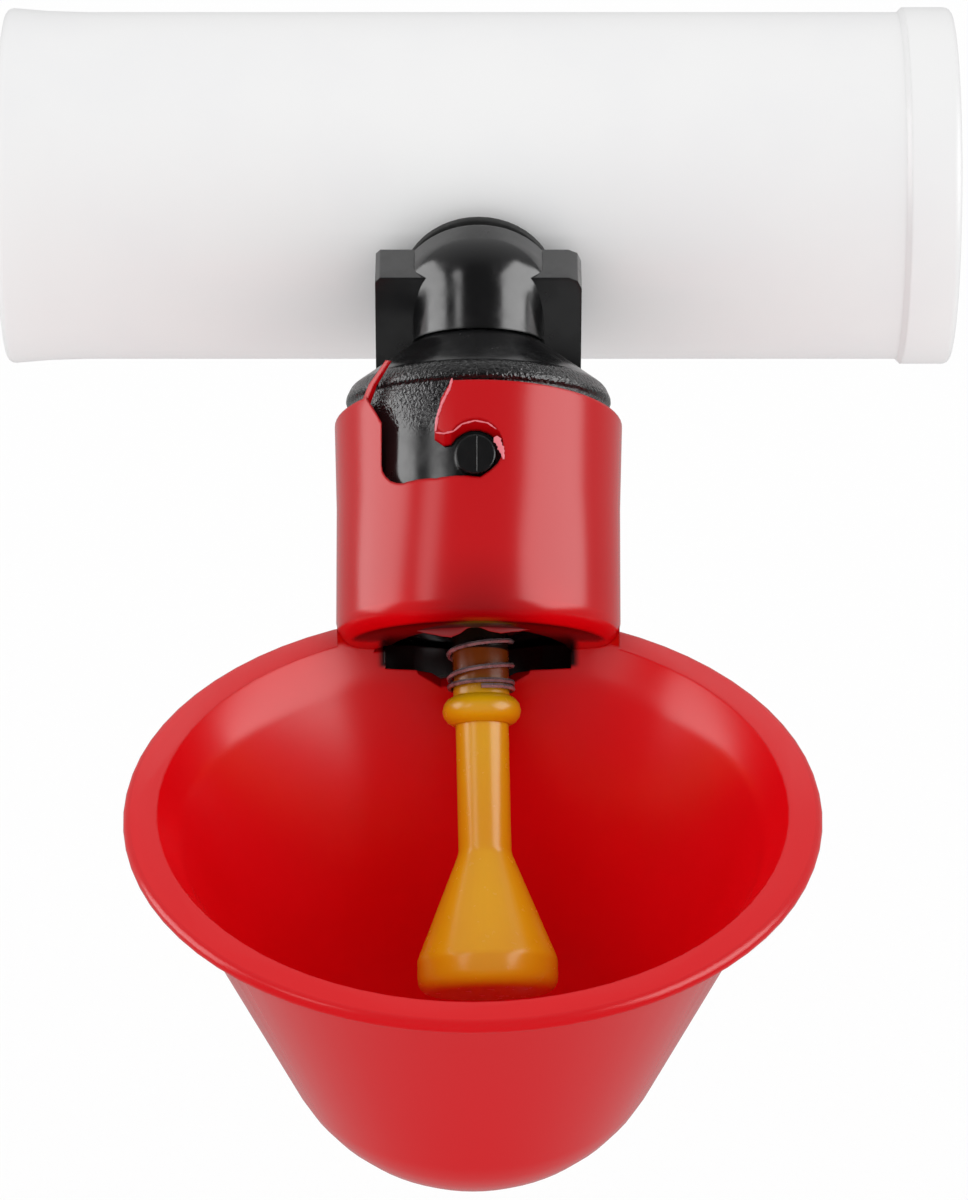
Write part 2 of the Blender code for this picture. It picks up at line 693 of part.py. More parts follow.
def slot_outline():
    """Outline of a bayonet slot on the neck's face, as (sideways, place down the neck) points."""
    seat_middle = (-LUG_SHIFT, LUG_PLACE - SEAT_RISE)
    mouth = MOUTH_PLACE - 6.0 * MM
    outline = [
        (-CHANNEL_MOUTH_SIDE - 0.4 * MM, mouth),
        (-CHANNEL_MOUTH_SIDE + 0.8 * MM, MOUTH_PLACE - 0.6 * MM),
        (-CHANNEL_SIDE, CHANNEL_FLARE_END),
    ]
    corner = (-CHANNEL_SIDE + CHANNEL_CORNER, SLOT_FLOOR + 0.2 * MM - CHANNEL_CORNER)
    outline += arc(corner, CHANNEL_CORNER, 180, 90, 5)
    outline += [(-CHANNEL_SIDE + 2.0 * CHANNEL_CORNER + 1.2 * MM, SLOT_FLOOR), (0.2 * MM, SLOT_FLOOR)]
    outline += arc(seat_middle, SEAT_RADIUS, 55, -150, 12)
    outline += [
        (-HOOK_SIDE + 1.0 * MM, HOOK_TIP + 0.8 * MM),
        (-HOOK_SIDE, HOOK_TIP),
        (-HOOK_SIDE + 0.7 * MM, (HOOK_TIP + HOOK_ROOT) / 2.0 - 0.4 * MM),
        (-HOOK_ROOT_SIDE - 0.2 * MM, HOOK_ROOT),
        (-HOOK_ROOT_SIDE + 0.4 * MM, mouth),
    ]
    return outline


def make_slot_cutter(name):
    """Tool for a bayonet slot. It follows the mould's pull, which is upright, so it cuts the leaning wall aslant."""
    outward = NECK_RADIUS
    upright = Vector((0.0, -math.sin(NECK_TILT), math.cos(NECK_TILT)))
    reach_out = 7.0 * MM
    reach_in = 7.0 * MM
    shape = bmesh.new()
    rim = []
    for sideways, place in slot_outline():
        depth = math.sqrt(max(outward ** 2 - sideways ** 2, 0.0))
        rim.append(shape.verts.new(Vector((sideways, -depth, -place)) + upright * reach_out))
    face = shape.faces.new(rim)
    grown = bmesh.ops.extrude_face_region(shape, geom=[face])
    moved = [item for item in grown["geom"] if isinstance(item, bmesh.types.BMVert)]
    bmesh.ops.translate(shape, verts=moved, vec=upright * -(reach_out + reach_in))
    bmesh.ops.triangulate(shape, faces=shape.faces)
    return add_mesh(name, shape)


def make_flash(neck):
    """The sliver of moulding flash that stands up beside the slot's mouth."""
    shape = bmesh.new()
    rings = []
    for sideways, radius, place, scale in FLASH_STATIONS:
        middle = Vector((sideways, -math.sqrt(radius ** 2 - sideways ** 2), -place))
        outward = Vector((middle.x, middle.y, 0.0)).normalized()
        across = outward.cross(Vector((0.35, 0.0, 1.0))).normalized()
        half_width = across * FLASH_WIDTH * scale / 2.0
        half_thick = outward * FLASH_THICKNESS * scale / 2.0
        corners = (half_width + half_thick, half_thick - half_width, -half_width - half_thick, half_width - half_thick)
        rings.append([shape.verts.new(middle + corner) for corner in corners])
    for first, second in zip(rings, rings[1:]):
        for side in range(4):
            after = (side + 1) % 4
            shape.faces.new((first[side], first[after], second[after], second[side]))
    shape.faces.new(rings[0])
    shape.faces.new(rings[-1])
    flash = add_mesh("flash_tool", shape)
    carry(neck, flash)
    return flash


def make_cup(finish, neck, rim):
    """The red cup: bowl, rim and leaning neck with two bayonet slots, in one moulding."""
    cup = turn("cup", bowl_outside(), FINE, finish)
    carry(rim, cup)

    headroom = 16.0 * MM
    step = 0.1 * MM
    neck_foot = (RIM_CENTRE_OUT - ELBOW_OUT) / math.sin(NECK_TILT) - 5.0 * MM
    ladle = rod("neck_ladle_tool", NECK_RADIUS - step, -neck_foot, -NECK_STEP_PLACE, FINE)
    hood = turn("neck_tool", down([
        (0.0, 5.0 * MM),
        (NECK_LIP_RADIUS, 5.0 * MM),
        (NECK_LIP_RADIUS, NECK_LIP_START),
        (NECK_RADIUS, NECK_LIP_END),
    ]) + neck_end(NECK_RADIUS, HOOD_PLACE, HOOD_ROUND), FINE, phase=0.007)
    hollow = turn("bowl_hollow_cutter", bowl_inside(headroom), FINE)
    core = turn("neck_core_cutter", down([
        (0.0, 4.0 * MM),
        (NECK_BORE, 4.0 * MM),
        (NECK_BORE, NECK_STEP_PLACE - 2.0 * MM),
        (NECK_LOWER_BORE, NECK_STEP_PLACE),
    ]) + neck_end(NECK_LOWER_BORE, HOOD_PLACE - HOOD_WALL, HOOD_ROUND * 0.6), FINE, phase=0.013)
    pocket = rod("neck_pocket_cutter", POCKET_RADIUS, -POCKET_END, -HOOD_PLACE + HOOD_WALL + 1.5 * MM, FINE, 0.019)
    guard = turn("bowl_guard_tool", bowl_guard(headroom), FINE)
    cut(pocket, guard)

    mouth = block(
        "neck_mouth_cutter",
        (-25.0 * MM, -25.0 * MM, 0.0),
        (25.0 * MM, 25.0 * MM, 25.0 * MM),
    )
    mouth.location = (0.0, 0.0, -MOUTH_PLACE)
    mouth.rotation_euler = (-MOUTH_SLANT, 0.0, 0.0)

    # The hole's near edge is half an ellipse across the hood, its far edge runs into the bowl's back wall
    near_edge = [
        (HOLE_HALF_WIDTH * math.cos(angle), HOLE_FAR - (HOLE_FAR + HOLE_NEAR) * math.sin(angle))
        for angle in (math.pi * step / 24.0 for step in range(25))
    ]
    hole = prism("hood_hole_cutter", near_edge, -HOOD_PLACE - 2.0 * MM, -HOOD_PLACE + HOOD_WALL + 2.0 * MM)

    # The bowl's back wall is cut down to two ledges and a notch between them
    edge = [
        (-HOLE_HALF_WIDTH + 1.5 * MM, 0.8 * MM),
        (-HOLE_HALF_WIDTH - 0.3 * MM, -LEDGE_DROP),
        (-NOTCH_HALF_WIDTH, -LEDGE_DROP - LEDGE_FALL),
        (-NOTCH_HALF_WIDTH + 1.1 * MM, -NOTCH_DROP + 1.5 * MM),
        (-NOTCH_HALF_WIDTH * 0.5, -NOTCH_DROP),
    ]
    edge += [(-sideways, height) for sideways, height in reversed(edge)]
    notch = prism("back_wall_notch_cutter", edge, -0.5 * MM, 10.0 * MM)
    notch.location = (0.0, wall_radius(BOWL_TOP_RADIUS, -NOTCH_DROP) + 4.0 * MM, 0.0)
    notch.rotation_euler = (math.radians(90.0), 0.0, 0.0)

    near_slot = make_slot_cutter("near_slot_cutter")
    far_slot = make_slot_cutter("far_slot_cutter")
    far_slot.rotation_euler = (0.0, 0.0, math.pi)

    carry(neck, ladle, hood, core, pocket, mouth, hole, near_slot, far_slot)
    carry(rim, hollow, guard, notch)
    fuse(cup, ladle)
    cut(cup, hollow)
    fuse(cup, hood)
    cut(cup, core, pocket, mouth, hole, notch, near_slot, far_slot)
    fuse(cup, make_flash(neck))
    return cup


def main():
    """Builds every piece."""
    remove_everything()
    white = plastic("white_pipe_plastic", (0.83, 0.83, 0.83), 0.3)
    black = plastic("black_plastic", (0.02, 0.02, 0.022), 0.3)
    red = plastic("red_plastic", (0.62, 0.0, 0.005), 0.28)
    yellow = plastic("yellow_plastic", (0.72, 0.36, 0.01), 0.3)
    steel = plastic("spring_steel", (0.42, 0.38, 0.38), 0.25, 1.0)
    rubber = plastic("black_rubber", (0.03, 0.03, 0.03), 0.7)

    neck = frame_empty("neck_axis", (0.0, -ELBOW_OUT, 0.0), NECK_TILT)
    pivot = frame_empty("trigger_pivot", along_neck(PIVOT_PLACE), NECK_TILT)
    lean = frame_empty("trigger_lean", (0.0, 0.0, 0.0))
    lean.rotation_euler = (0.0, -TRIGGER_LEAN, 0.0)
    carry(pivot, lean)
    rim = frame_empty("rim_centre", (RIM_SHIFT, -RIM_CENTRE_OUT, -RIM_DROP))

    make_pipe(white)
    make_washer(rubber)
    make_valve_body(black, neck)
    make_seal(rubber, neck)
    make_retainer(black, neck)
    make_pin(steel, lean)
    make_trigger(yellow, lean)
    make_spring(steel, lean)
    make_cup(red, neck, rim)


main()
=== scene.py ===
"""Finished scene of a poultry drinking cup on a length of white water pipe.

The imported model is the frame. This script gives every piece its finish, adds the fine
moulding detail that the frame leaves out, and sets the camera and the white studio.
Metres, +Z up. The origin is the middle of the pipe's axis and -Y is the cup's side.
"""

from __future__ import annotations

import logging
import math
from dataclasses import dataclass
from enum import Enum

import bmesh
import bpy
from mathutils import Matrix, Vector
from mathutils.bvhtree import BVHTree

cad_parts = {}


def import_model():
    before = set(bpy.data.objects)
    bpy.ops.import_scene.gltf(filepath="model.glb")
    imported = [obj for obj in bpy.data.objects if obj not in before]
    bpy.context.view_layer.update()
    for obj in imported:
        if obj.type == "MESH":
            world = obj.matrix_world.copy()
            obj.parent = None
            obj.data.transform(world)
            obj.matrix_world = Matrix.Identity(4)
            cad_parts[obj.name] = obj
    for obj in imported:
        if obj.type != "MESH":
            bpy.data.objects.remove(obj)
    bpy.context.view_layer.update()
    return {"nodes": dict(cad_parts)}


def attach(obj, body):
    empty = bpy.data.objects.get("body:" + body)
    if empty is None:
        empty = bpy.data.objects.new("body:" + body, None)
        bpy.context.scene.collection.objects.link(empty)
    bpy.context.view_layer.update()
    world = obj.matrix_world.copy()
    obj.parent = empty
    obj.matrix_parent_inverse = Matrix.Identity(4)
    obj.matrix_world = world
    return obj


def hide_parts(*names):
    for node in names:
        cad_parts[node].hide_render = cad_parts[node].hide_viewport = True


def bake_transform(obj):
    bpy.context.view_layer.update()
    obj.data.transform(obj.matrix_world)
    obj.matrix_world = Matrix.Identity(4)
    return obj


LOG = logging.getLogger("poultry_cup")

MM = 0.001

Colour = tuple[float, float, float]
Point = tuple[float, float, float]
Pair = tuple[float, float]
Spots = tuple[Pair, ...]
Socket = bpy.types.NodeSocket
Value = Socket | float | Colour

WHITE = (1.0, 1.0, 1.0, 1.0)
RIGHT = Vector((1.0, 0.0, 0.0))
DIAGONAL = math.sqrt(2.0)
SHARP_ANGLE = math.radians(32.0)
FLAT_ANGLE = math.radians(0.4)
SPLIT_CORNERS = 0.002 * MM
DOUBLE_POINTS = 0.001 * MM


class Body(Enum):
    """Bodies of the frame that added pieces ride on."""

    FIXED = "fixed_body"
    SPRING = "spring_body"
    TRIGGER = "trigger_body"


@dataclass(frozen=True)
class OutletAxis:
    """The leaning axis that the valve's outlet, the cup's neck and the trigger share.

    Attributes:
        elbow_out: distance from the pipe's axis to the elbow's corner.
        tilt: how far the outlet leans from the vertical.
    """

    elbow_out: float = 26.6 * MM
    tilt: float = math.radians(45.0)

    @property
    def corner(self) -> Vector:
        """The elbow's corner, where distances down the axis start."""
        return Vector((0.0, -self.elbow_out, 0.0))

    @property
    def down(self) -> Vector:
        """Unit direction down the outlet."""
        return Vector((0.0, -math.sin(self.tilt), -math.cos(self.tilt)))

    @property
    def near(self) -> Vector:
        """Unit direction out of the side that faces the viewer."""
        return Vector((0.0, -math.cos(self.tilt), math.sin(self.tilt)))

    def point(self, sideways: float, towards_viewer: float, place: float) -> Vector:
        """Gives a point in the frame.

        Args:
            sideways: distance to the right.
            towards_viewer: distance out of the near side.
            place: distance down the axis from the elbow's corner.

        Returns:
            The point, in metres.
        """
        return self.corner + Vector((sideways, 0.0, 0.0)) + self.near * towards_viewer + self.down * place


AXIS = OutletAxis()


@dataclass(frozen=True)
class Pattern:
    """A noise pattern.

    Attributes:
        scale: number of its lumps to the metre.
        detail: number of finer layers.
        weight: weight of the finer layers.
        contrast: the values of the noise at which its marks start and are full.
    """

    scale: float
    detail: float
    weight: float
    contrast: Pair = (0.0, 1.0)


FLOW_MARKS = Pattern(55.0, 4.0, 0.55, (0.38, 0.68))
DUST = Pattern(900.0, 2.0, 0.6, (0.45, 0.75))
SLOW_WAVES = Pattern(70.0, 1.0, 0.4)
FINE_GRAIN = Pattern(2400.0, 2.0, 0.5)
LEATHER = Pattern(2300.0, 2.0, 0.6)
LEATHER_CELLS = 1840.0
VALVE_GRAIN = Pattern(900.0, 2.0, 0.5)
VALVE_WEAR = Pattern(400.0, 3.0, 0.6, (0.35, 0.75))
STEEL_STAINS = Pattern(600.0, 3.0, 0.6, (0.4, 0.65))
STEEL_SCRATCHES = Pattern(5000.0, 2.0, 0.5)
RUBBER_BLOOM = Pattern(700.0, 4.0, 0.6, (0.4, 0.8))
RUBBER_GRAIN = Pattern(3000.0, 2.0, 0.5)
FLOOR_PORES = Pattern(300.0, 2.0, 0.5)


class Graph:
    """Builds a material's node tree."""

    def __init__(self, name: str) -> None:
        """Starts an empty material.

        Args:
            name: the material's name.
        """
        self.material = bpy.data.materials.new(name)
        self.material.use_nodes = True
        self.tree = self.material.node_tree
        self.tree.nodes.clear()
        self.output = self.tree.nodes.new("ShaderNodeOutputMaterial")
        self.coordinates = self.tree.nodes.new("ShaderNodeTexCoord").outputs["Object"]

    def feed(self, value: Value | Vector, socket: Socket) -> None:
        """Links a socket or sets a constant on it.

        Args:
            value: the socket or the constant.
            socket: the socket that takes it.
        """
        if isinstance(value, Socket):
            self.tree.links.new(value, socket)
        elif socket.type == "RGBA" and len(value) == 3:
            socket.default_value = (*value, 1.0)
        else:
            socket.default_value = value

    def noise(self, pattern: Pattern) -> Socket:
        """Adds a noise pattern in the object's own metres.

        Args:
            pattern: the pattern.

        Returns:
            Its value.
        """
        node = self.tree.nodes.new("ShaderNodeTexNoise")
        node.inputs["Scale"].default_value = pattern.scale
        node.inputs["Detail"].default_value = pattern.detail
        node.inputs["Roughness"].default_value = pattern.weight
        self.feed(self.coordinates, node.inputs["Vector"])
        return node.outputs["Fac"]

    def marks(self, pattern: Pattern, to_low: float = 0.0, to_high: float = 1.0) -> Socket:
        """Adds a noise pattern with its contrast raised and returns its value."""
        return self.span(self.noise(pattern), pattern.contrast, to_low, to_high)

    def cells(self, scale: float) -> Socket:
        """Adds a cell pattern.

        Args:
            scale: number of cells to the metre.

        Returns:
            The distance to the nearest edge of a cell.
        """
        node = self.tree.nodes.new("ShaderNodeTexVoronoi")
        node.feature = "DISTANCE_TO_EDGE"
        node.inputs["Scale"].default_value = scale
        self.feed(self.coordinates, node.inputs["Vector"])
        return node.outputs["Distance"]

    def calc(self, operation: str, first: Value, second: Value = 0.0) -> Socket:
        """Adds a sum.

        Args:
            operation: the kind of sum.
            first: its first value.
            second: its second value, where it takes two.

        Returns:
            Its result.
        """
        node = self.tree.nodes.new("ShaderNodeMath")
        node.operation = operation
        self.feed(first, node.inputs[0])
        self.feed(second, node.inputs[1])
        return node.outputs[0]

    def times(self, first: Value, second: Value) -> Socket:
        """Multiplies two values."""
        return self.calc("MULTIPLY", first, second)

    def vector_calc(
        self,
        operation: str,
        first: Socket,
        second: Socket | Vector | None = None,
    ) -> bpy.types.Node:
        """Adds a sum of vectors.

        Args:
            operation: the kind of sum.
            first: its first vector.
            second: its second vector, where it takes two.

        Returns:
            The node, whose result is its vector or its value.
        """
        node = self.tree.nodes.new("ShaderNodeVectorMath")
        node.operation = operation
        self.feed(first, node.inputs[0])
        if second is not None:
            self.feed(second, node.inputs[1])
        return node

    def span(self, value: Value, edges: Pair, to_low: float = 0.0, to_high: float = 1.0) -> Socket:
        """Maps a range smoothly onto another.

        Args:
            value: the value to map.
            edges: the range's low and high end.
            to_low: what its low end becomes.
            to_high: what its high end becomes.

        Returns:
            The mapped value.
        """
        node = self.tree.nodes.new("ShaderNodeMapRange")
        node.interpolation_type = "SMOOTHSTEP"
        self.feed(value, node.inputs["Value"])
        for socket, number in zip(("From Min", "From Max", "To Min", "To Max"), (*edges, to_low, to_high)):
            node.inputs[socket].default_value = number
        return node.outputs["Result"]

    def fall(self, value: Value, edges: Pair) -> Socket:
        """Returns 1 below a range, falling to 0 above it."""
        return self.span(value, edges, 1.0, 0.0)

    def blend(self, factor: Value, first: Value, second: Value) -> Socket:
        """Mixes two colours.

        Args:
            factor: the share of the second colour.
            first: the first colour.
            second: the second colour.

        Returns:
            The mixed colour.
        """
        node = self.tree.nodes.new("ShaderNodeMix")
        node.data_type = "RGBA"
        self.feed(factor, node.inputs["Factor"])
        for value, name in ((first, "A"), (second, "B")):
            socket = next(s for s in node.inputs if s.name == name and s.type == "RGBA")
            self.feed(value, socket)
        return next(s for s in node.outputs if s.type == "RGBA")

    def along(self, direction: Vector) -> Socket:
        """Returns the distance of the shaded point along a direction from the elbow's corner."""
        shift = self.vector_calc("SUBTRACT", self.coordinates, AXIS.corner)
        return self.vector_calc("DOT_PRODUCT", shift.outputs["Vector"], direction).outputs["Value"]

    def from_outlet(self) -> Socket:
        """Measures from the outlet's axis.

        Returns:
            The distance of the shaded point.
        """
        sideways = self.along(RIGHT)
        out = self.along(AXIS.near)
        return self.calc("SQRT", self.calc("ADD", self.times(sideways, sideways), self.times(out, out)))

    def from_point(self, centre: Vector) -> Socket:
        """Returns the distance of the shaded point from a point."""
        return self.vector_calc("DISTANCE", self.coordinates, centre).outputs["Value"]

    def faces_point(self, centre: Vector) -> Socket:
        """Measures how the surface is turned to a point.

        Args:
            centre: the point.

        Returns:
            A value from -1 where the surface faces the point to 1 where it faces away.
        """
        shift = self.vector_calc("SUBTRACT", self.coordinates, centre)
        unit = self.vector_calc("NORMALIZE", shift.outputs["Vector"])
        normal = self.tree.nodes.new("ShaderNodeNewGeometry").outputs["True Normal"]
        return self.vector_calc("DOT_PRODUCT", unit.outputs["Vector"], normal).outputs["Value"]

    def soft_edges(self, radius: float) -> Socket:
        """Rounds the edges in the shading.

        Args:
            radius: the edges' radius.

        Returns:
            The normal.
        """
        node = self.tree.nodes.new("ShaderNodeBevel")
        node.samples = 4
        node.inputs["Radius"].default_value = radius
        return node.outputs["Normal"]

    def bump(self, height: Value, distance: float, normal: Socket | None = None) -> Socket:
        """Raises the surface in the shading.

        Args:
            height: the height's pattern, 0 to 1.
            distance: the height of its highest places.
            normal: the normal below it, where it isn't the surface's own.

        Returns:
            The normal.
        """
        node = self.tree.nodes.new("ShaderNodeBump")
        node.inputs["Strength"].default_value = 1.0
        node.inputs["Distance"].default_value = distance
        self.feed(height, node.inputs["Height"])
        if normal is not None:
            self.feed(normal, node.inputs["Normal"])
        return node.outputs["Normal"]

    def surface(self, **sockets: Value) -> bpy.types.Material:
        """Adds the shader, feeds its sockets and ends the tree.

        Args:
            **sockets: socket names with underscores for spaces, with a value or a socket.

        Returns:
            The finished material.
        """
        shader = self.tree.nodes.new("ShaderNodeBsdfPrincipled")
        for name, value in sockets.items():
            self.feed(value, shader.inputs[name.replace("_", " ")])
        self.feed(shader.outputs["BSDF"], self.output.inputs["Surface"])
        return self.material


@dataclass(frozen=True)
class MouldedPlastic:
    """A moulded plastic with flow marks, fine dust and soft edges.

    Attributes:
        name: the material's name.
        colour: the main colour.
        deep: the colour in its darker flow marks.
        roughness: the gloss of clean areas.
        dull: the gloss of dusty areas.
        edge: radius of the softened edges.
        ripple: height of the slow waves in the surface.
        grain: height of the fine grain.
    """

    name: str
    colour: Colour
    deep: Colour
    roughness: float
    dull: float
    edge: float
    ripple: float
    grain: float

    def build(self) -> bpy.types.Material:
        """Makes the material.

        Returns:
            The material.
        """
        graph = Graph(self.name)
        dust = graph.times(graph.marks(DUST), self.dull - self.roughness)
        waves = graph.bump(graph.noise(SLOW_WAVES), self.ripple, graph.soft_edges(self.edge))
        return graph.surface(
            Base_Color=self.tinted(graph, graph.blend(graph.marks(FLOW_MARKS), self.colour, self.deep)),
            Roughness=graph.calc("ADD", dust, self.roughness),
            Normal=graph.bump(graph.noise(FINE_GRAIN), self.grain, waves),
        )

    def tinted(self, graph: Graph, colour: Socket) -> Socket:
        """Returns the colour, which a plain piece has all over."""
        return colour


@dataclass(frozen=True)
class CupPlastic(MouldedPlastic):
    """The cup's red, bright in the bowl, with painted shade: darker on the bowl's outer wall and on the
    neck, darkest at the hood's lower edge, near black inside the side hole.

    Attributes:
        outside: painted shade, the darker colour of the bowl's outer wall.
        neck: painted shade, the darker colour of the neck.
        hood: painted shade, the dark colour at the hood's lower edge.
        hole: painted shade, the near-black colour of the walls inside the hole.
        bowl_centre: a point in the middle of the bowl, which its inner wall faces.
        outer_turn: how far a wall is turned from that point as the outer wall's painted shade comes in.
        neck_end: where the neck's painted shade fades, down the outlet's axis.
        neck_radius: the radius over which it fades.
        hood_edge: the middle of the hood's edge, out of the near side and down the axis.
        hood_fade: the distance from there over which its painted shade fades.
        hole_end: where the hole's painted shade fades, down the axis.
        hole_radius: the radius over which it fades.
        hole_side: the distance sideways over which it fades.
        hole_front: the distance to the near side over which it comes in again.
    """

    # Colours of painted shade: the outer wall, the neck, the hood's lower edge and inside the hole.
    outside: Colour = (0.63, 0.0, 0.004)
    neck: Colour = (0.52, 0.0, 0.003)
    hood: Colour = (0.3, 0.0, 0.002)
    hole: Colour = (0.02, 0.0, 0.001)
    bowl_centre: Point = (0.0, -0.081, -0.03)
    outer_turn: Pair = (-0.1, 0.2)
    neck_end: Pair = (30.0 * MM, 42.0 * MM)
    neck_radius: Pair = (15.6 * MM, 19.0 * MM)
    hood_edge: Pair = (14.2 * MM, 37.0 * MM)
    hood_fade: Pair = (1.0 * MM, 9.0 * MM)
    hole_end: Pair = (38.3 * MM, 38.9 * MM)
    hole_radius: Pair = (13.4 * MM, 14.0 * MM)
    hole_side: Pair = (10.1 * MM, 11.0 * MM)
    hole_front: Pair = (1.0 * MM, 4.0 * MM)

    def tinted(self, graph: Graph, colour: Socket) -> Socket:
        """Paints shade into the colour: on the bowl's outer wall, the neck, the hood's lower edge and
        inside the side hole.

        Args:
            graph: the material's nodes.
            colour: the bowl's colour.

        Returns:
            The changed colour.
        """
        place = graph.along(AXIS.down)
        radius = graph.from_outlet()
        # Painted shade: walls turned away from the bowl's middle, the outer wall, are darker.
        outer = graph.span(graph.faces_point(Vector(self.bowl_centre)), self.outer_turn)
        colour = graph.blend(outer, colour, self.outside)
        # Painted shade: the neck is darker.
        neck = graph.times(graph.fall(place, self.neck_end), graph.fall(radius, self.neck_radius))
        colour = graph.blend(neck, colour, self.neck)
        # Painted shade: darkest at the hood's lower edge.
        edge = graph.fall(graph.from_point(AXIS.point(0.0, *self.hood_edge)), self.hood_fade)
        colour = graph.blend(edge, colour, self.hood)
        # Painted shade: near black on the walls inside the side hole.
        middle = graph.fall(graph.calc("ABSOLUTE", graph.along(RIGHT)), self.hole_side)
        across = graph.calc("MAXIMUM", middle, graph.span(graph.along(AXIS.near), self.hole_front))
        inner = graph.times(graph.fall(radius, self.hole_radius), across)
        return graph.blend(graph.times(graph.fall(place, self.hole_end), inner), colour, self.hole)


@dataclass(frozen=True)
class TriggerPlastic(MouldedPlastic):
    """The trigger's yellow, with painted shade: brown on the stem above its collar, where the hood shades
    it, and near black on the head inside the valve's tube.

    Attributes:
        stain_and_painted_shade: painted shade, the brown of the stem above its collar, where the hood
            shades it.
        painted_shade_end: where the painted shade on the stem fades, down the outlet's axis.
        head: painted shade, the near-black colour of the head inside the valve's tube.
        head_end: where the head ends.
    """

    # Colours of painted shade: the stem in the hood's shade, and the head inside the valve's tube.
    stain_and_painted_shade: Colour = (0.2, 0.04, 0.002)
    painted_shade_end: Pair = (40.1 * MM, 43.1 * MM)
    head: Colour = (0.012, 0.005, 0.002)
    head_end: Pair = (37.4 * MM, 37.6 * MM)

    def tinted(self, graph: Graph, colour: Socket) -> Socket:
        """Paints shade into the colour on the stem above the collar and on the head inside the valve's
        tube.

        Args:
            graph: the material's nodes.
            colour: the bell's own colour.

        Returns:
            The changed colour.
        """
        place = graph.along(AXIS.down)
        # Painted shade: the stem above the collar turns brown where the hood shades it.
        colour = graph.blend(graph.span(place, self.painted_shade_end), self.stain_and_painted_shade, colour)
        # Painted shade: the head inside the valve's tube is near black.
        return graph.blend(graph.span(place, self.head_end), self.head, colour)


@dataclass(frozen=True)
class GrainedPlastic:
    """The valve's black plastic: glossy, with a leathery grain round the dome.

    Attributes:
        name: the material's name.
        colour: the colour.
        roughness: the gloss of clean areas.
        dull: the gloss of worn areas.
        shine: strength of its reflections.
        edge: radius of the softened edges.
        grain: height of the fine grain.
        leather: height of the leathery grain.
        leather_start: where the leathery grain comes in, down the outlet's axis.
        leather_end: where it fades.
    """

    name: str
    colour: Colour
    roughness: float
    dull: float
    shine: float
    edge: float
    grain: float
    leather: float
    leather_start: Pair
    leather_end: Pair

    def build(self) -> bpy.types.Material:
        """Makes the material.

        Returns:
            The material.
        """
        graph = Graph(self.name)
        place = graph.along(AXIS.down)
        dome = graph.times(graph.span(place, self.leather_start), graph.fall(place, self.leather_end))
        leather = graph.calc("ADD", graph.noise(LEATHER), graph.cells(LEATHER_CELLS))
        normal = graph.bump(graph.times(dome, leather), self.leather, graph.soft_edges(self.edge))
        return graph.surface(
            Base_Color=self.colour,
            Roughness=graph.marks(VALVE_WEAR, self.roughness, self.dull),
            Specular_IOR_Level=self.shine,
            Normal=graph.bump(graph.noise(VALVE_GRAIN), self.grain, normal),
        )


@dataclass(frozen=True)
class DrawnSteel:
    """Bare drawn steel with fine scratches and darker stains.

    Attributes:
        name: the material's name.
        colour: the clean metal.
        stain_and_painted_shade: the stained metal.
        roughness: the gloss of clean areas.
        dull: the gloss of stained areas.
        metal: how metallic it looks.
        scratch: height of the scratches.
    """

    name: str
    colour: Colour
    stain_and_painted_shade: Colour
    roughness: float
    dull: float
    metal: float
    scratch: float

    def build(self) -> bpy.types.Material:
        """Makes the material.

        Returns:
            The material.
        """
        graph = Graph(self.name)
        stains = graph.marks(STEEL_STAINS)
        return graph.surface(
            Base_Color=graph.blend(stains, self.colour, self.stain_and_painted_shade),
            Metallic=self.metal,
            Roughness=graph.span(stains, (0.0, 1.0), self.roughness, self.dull),
            Normal=graph.bump(graph.noise(STEEL_SCRATCHES), self.scratch),
        )


@dataclass(frozen=True)
class Rubber:
    """Matt black rubber with a pale bloom.

    Attributes:
        name: the material's name.
        colour: the colour.
        bloom: the colour of the bloom.
        roughness: the gloss.
        edge: radius of the softened edges.
        grain: height of the grain.
    """

    name: str
    colour: Colour
    bloom: Colour
    roughness: float
    edge: float
    grain: float

    def build(self) -> bpy.types.Material:
        """Makes the material.

        Returns:
            The material.
        """
        graph = Graph(self.name)
        return graph.surface(
            Base_Color=graph.blend(graph.marks(RUBBER_BLOOM), self.colour, self.bloom),
            Roughness=self.roughness,
            Normal=graph.bump(graph.noise(RUBBER_GRAIN), self.grain, graph.soft_edges(self.edge)),
        )


PIPE_FINISH = MouldedPlastic(
    name="white pipe plastic",
    colour=(0.85, 0.85, 0.85),
    deep=(0.835, 0.835, 0.84),
    roughness=0.3,
    dull=0.36,
    edge=0.4 * MM,
    ripple=0.006 * MM,
    grain=0.0003 * MM,
)
CUP_FINISH = CupPlastic(
    name="red cup plastic",
    colour=(0.8, 0.0, 0.004),
    deep=(0.76, 0.0, 0.003),
    roughness=0.22,
    dull=0.222,
    edge=0.3 * MM,
    ripple=0.03 * MM,
    grain=0.0005 * MM,
)
TRIGGER_FINISH = TriggerPlastic(
    name="yellow trigger plastic",
    colour=(0.78, 0.4, 0.002),
    deep=(0.75, 0.35, 0.002),
    roughness=0.24,
    dull=0.28,
    edge=0.2 * MM,
    ripple=0.015 * MM,
    grain=0.0005 * MM,
)
VALVE_FINISH = GrainedPlastic(
    name="black valve plastic",
    colour=(0.008, 0.008, 0.0085),
    roughness=0.16,
    dull=0.28,
    shine=0.95,
    edge=0.3 * MM,
    grain=0.001 * MM,
    leather=0.14 * MM,
    leather_start=(8.3 * MM, 8.9 * MM),
    leather_end=(10.8 * MM, 17.0 * MM),
)
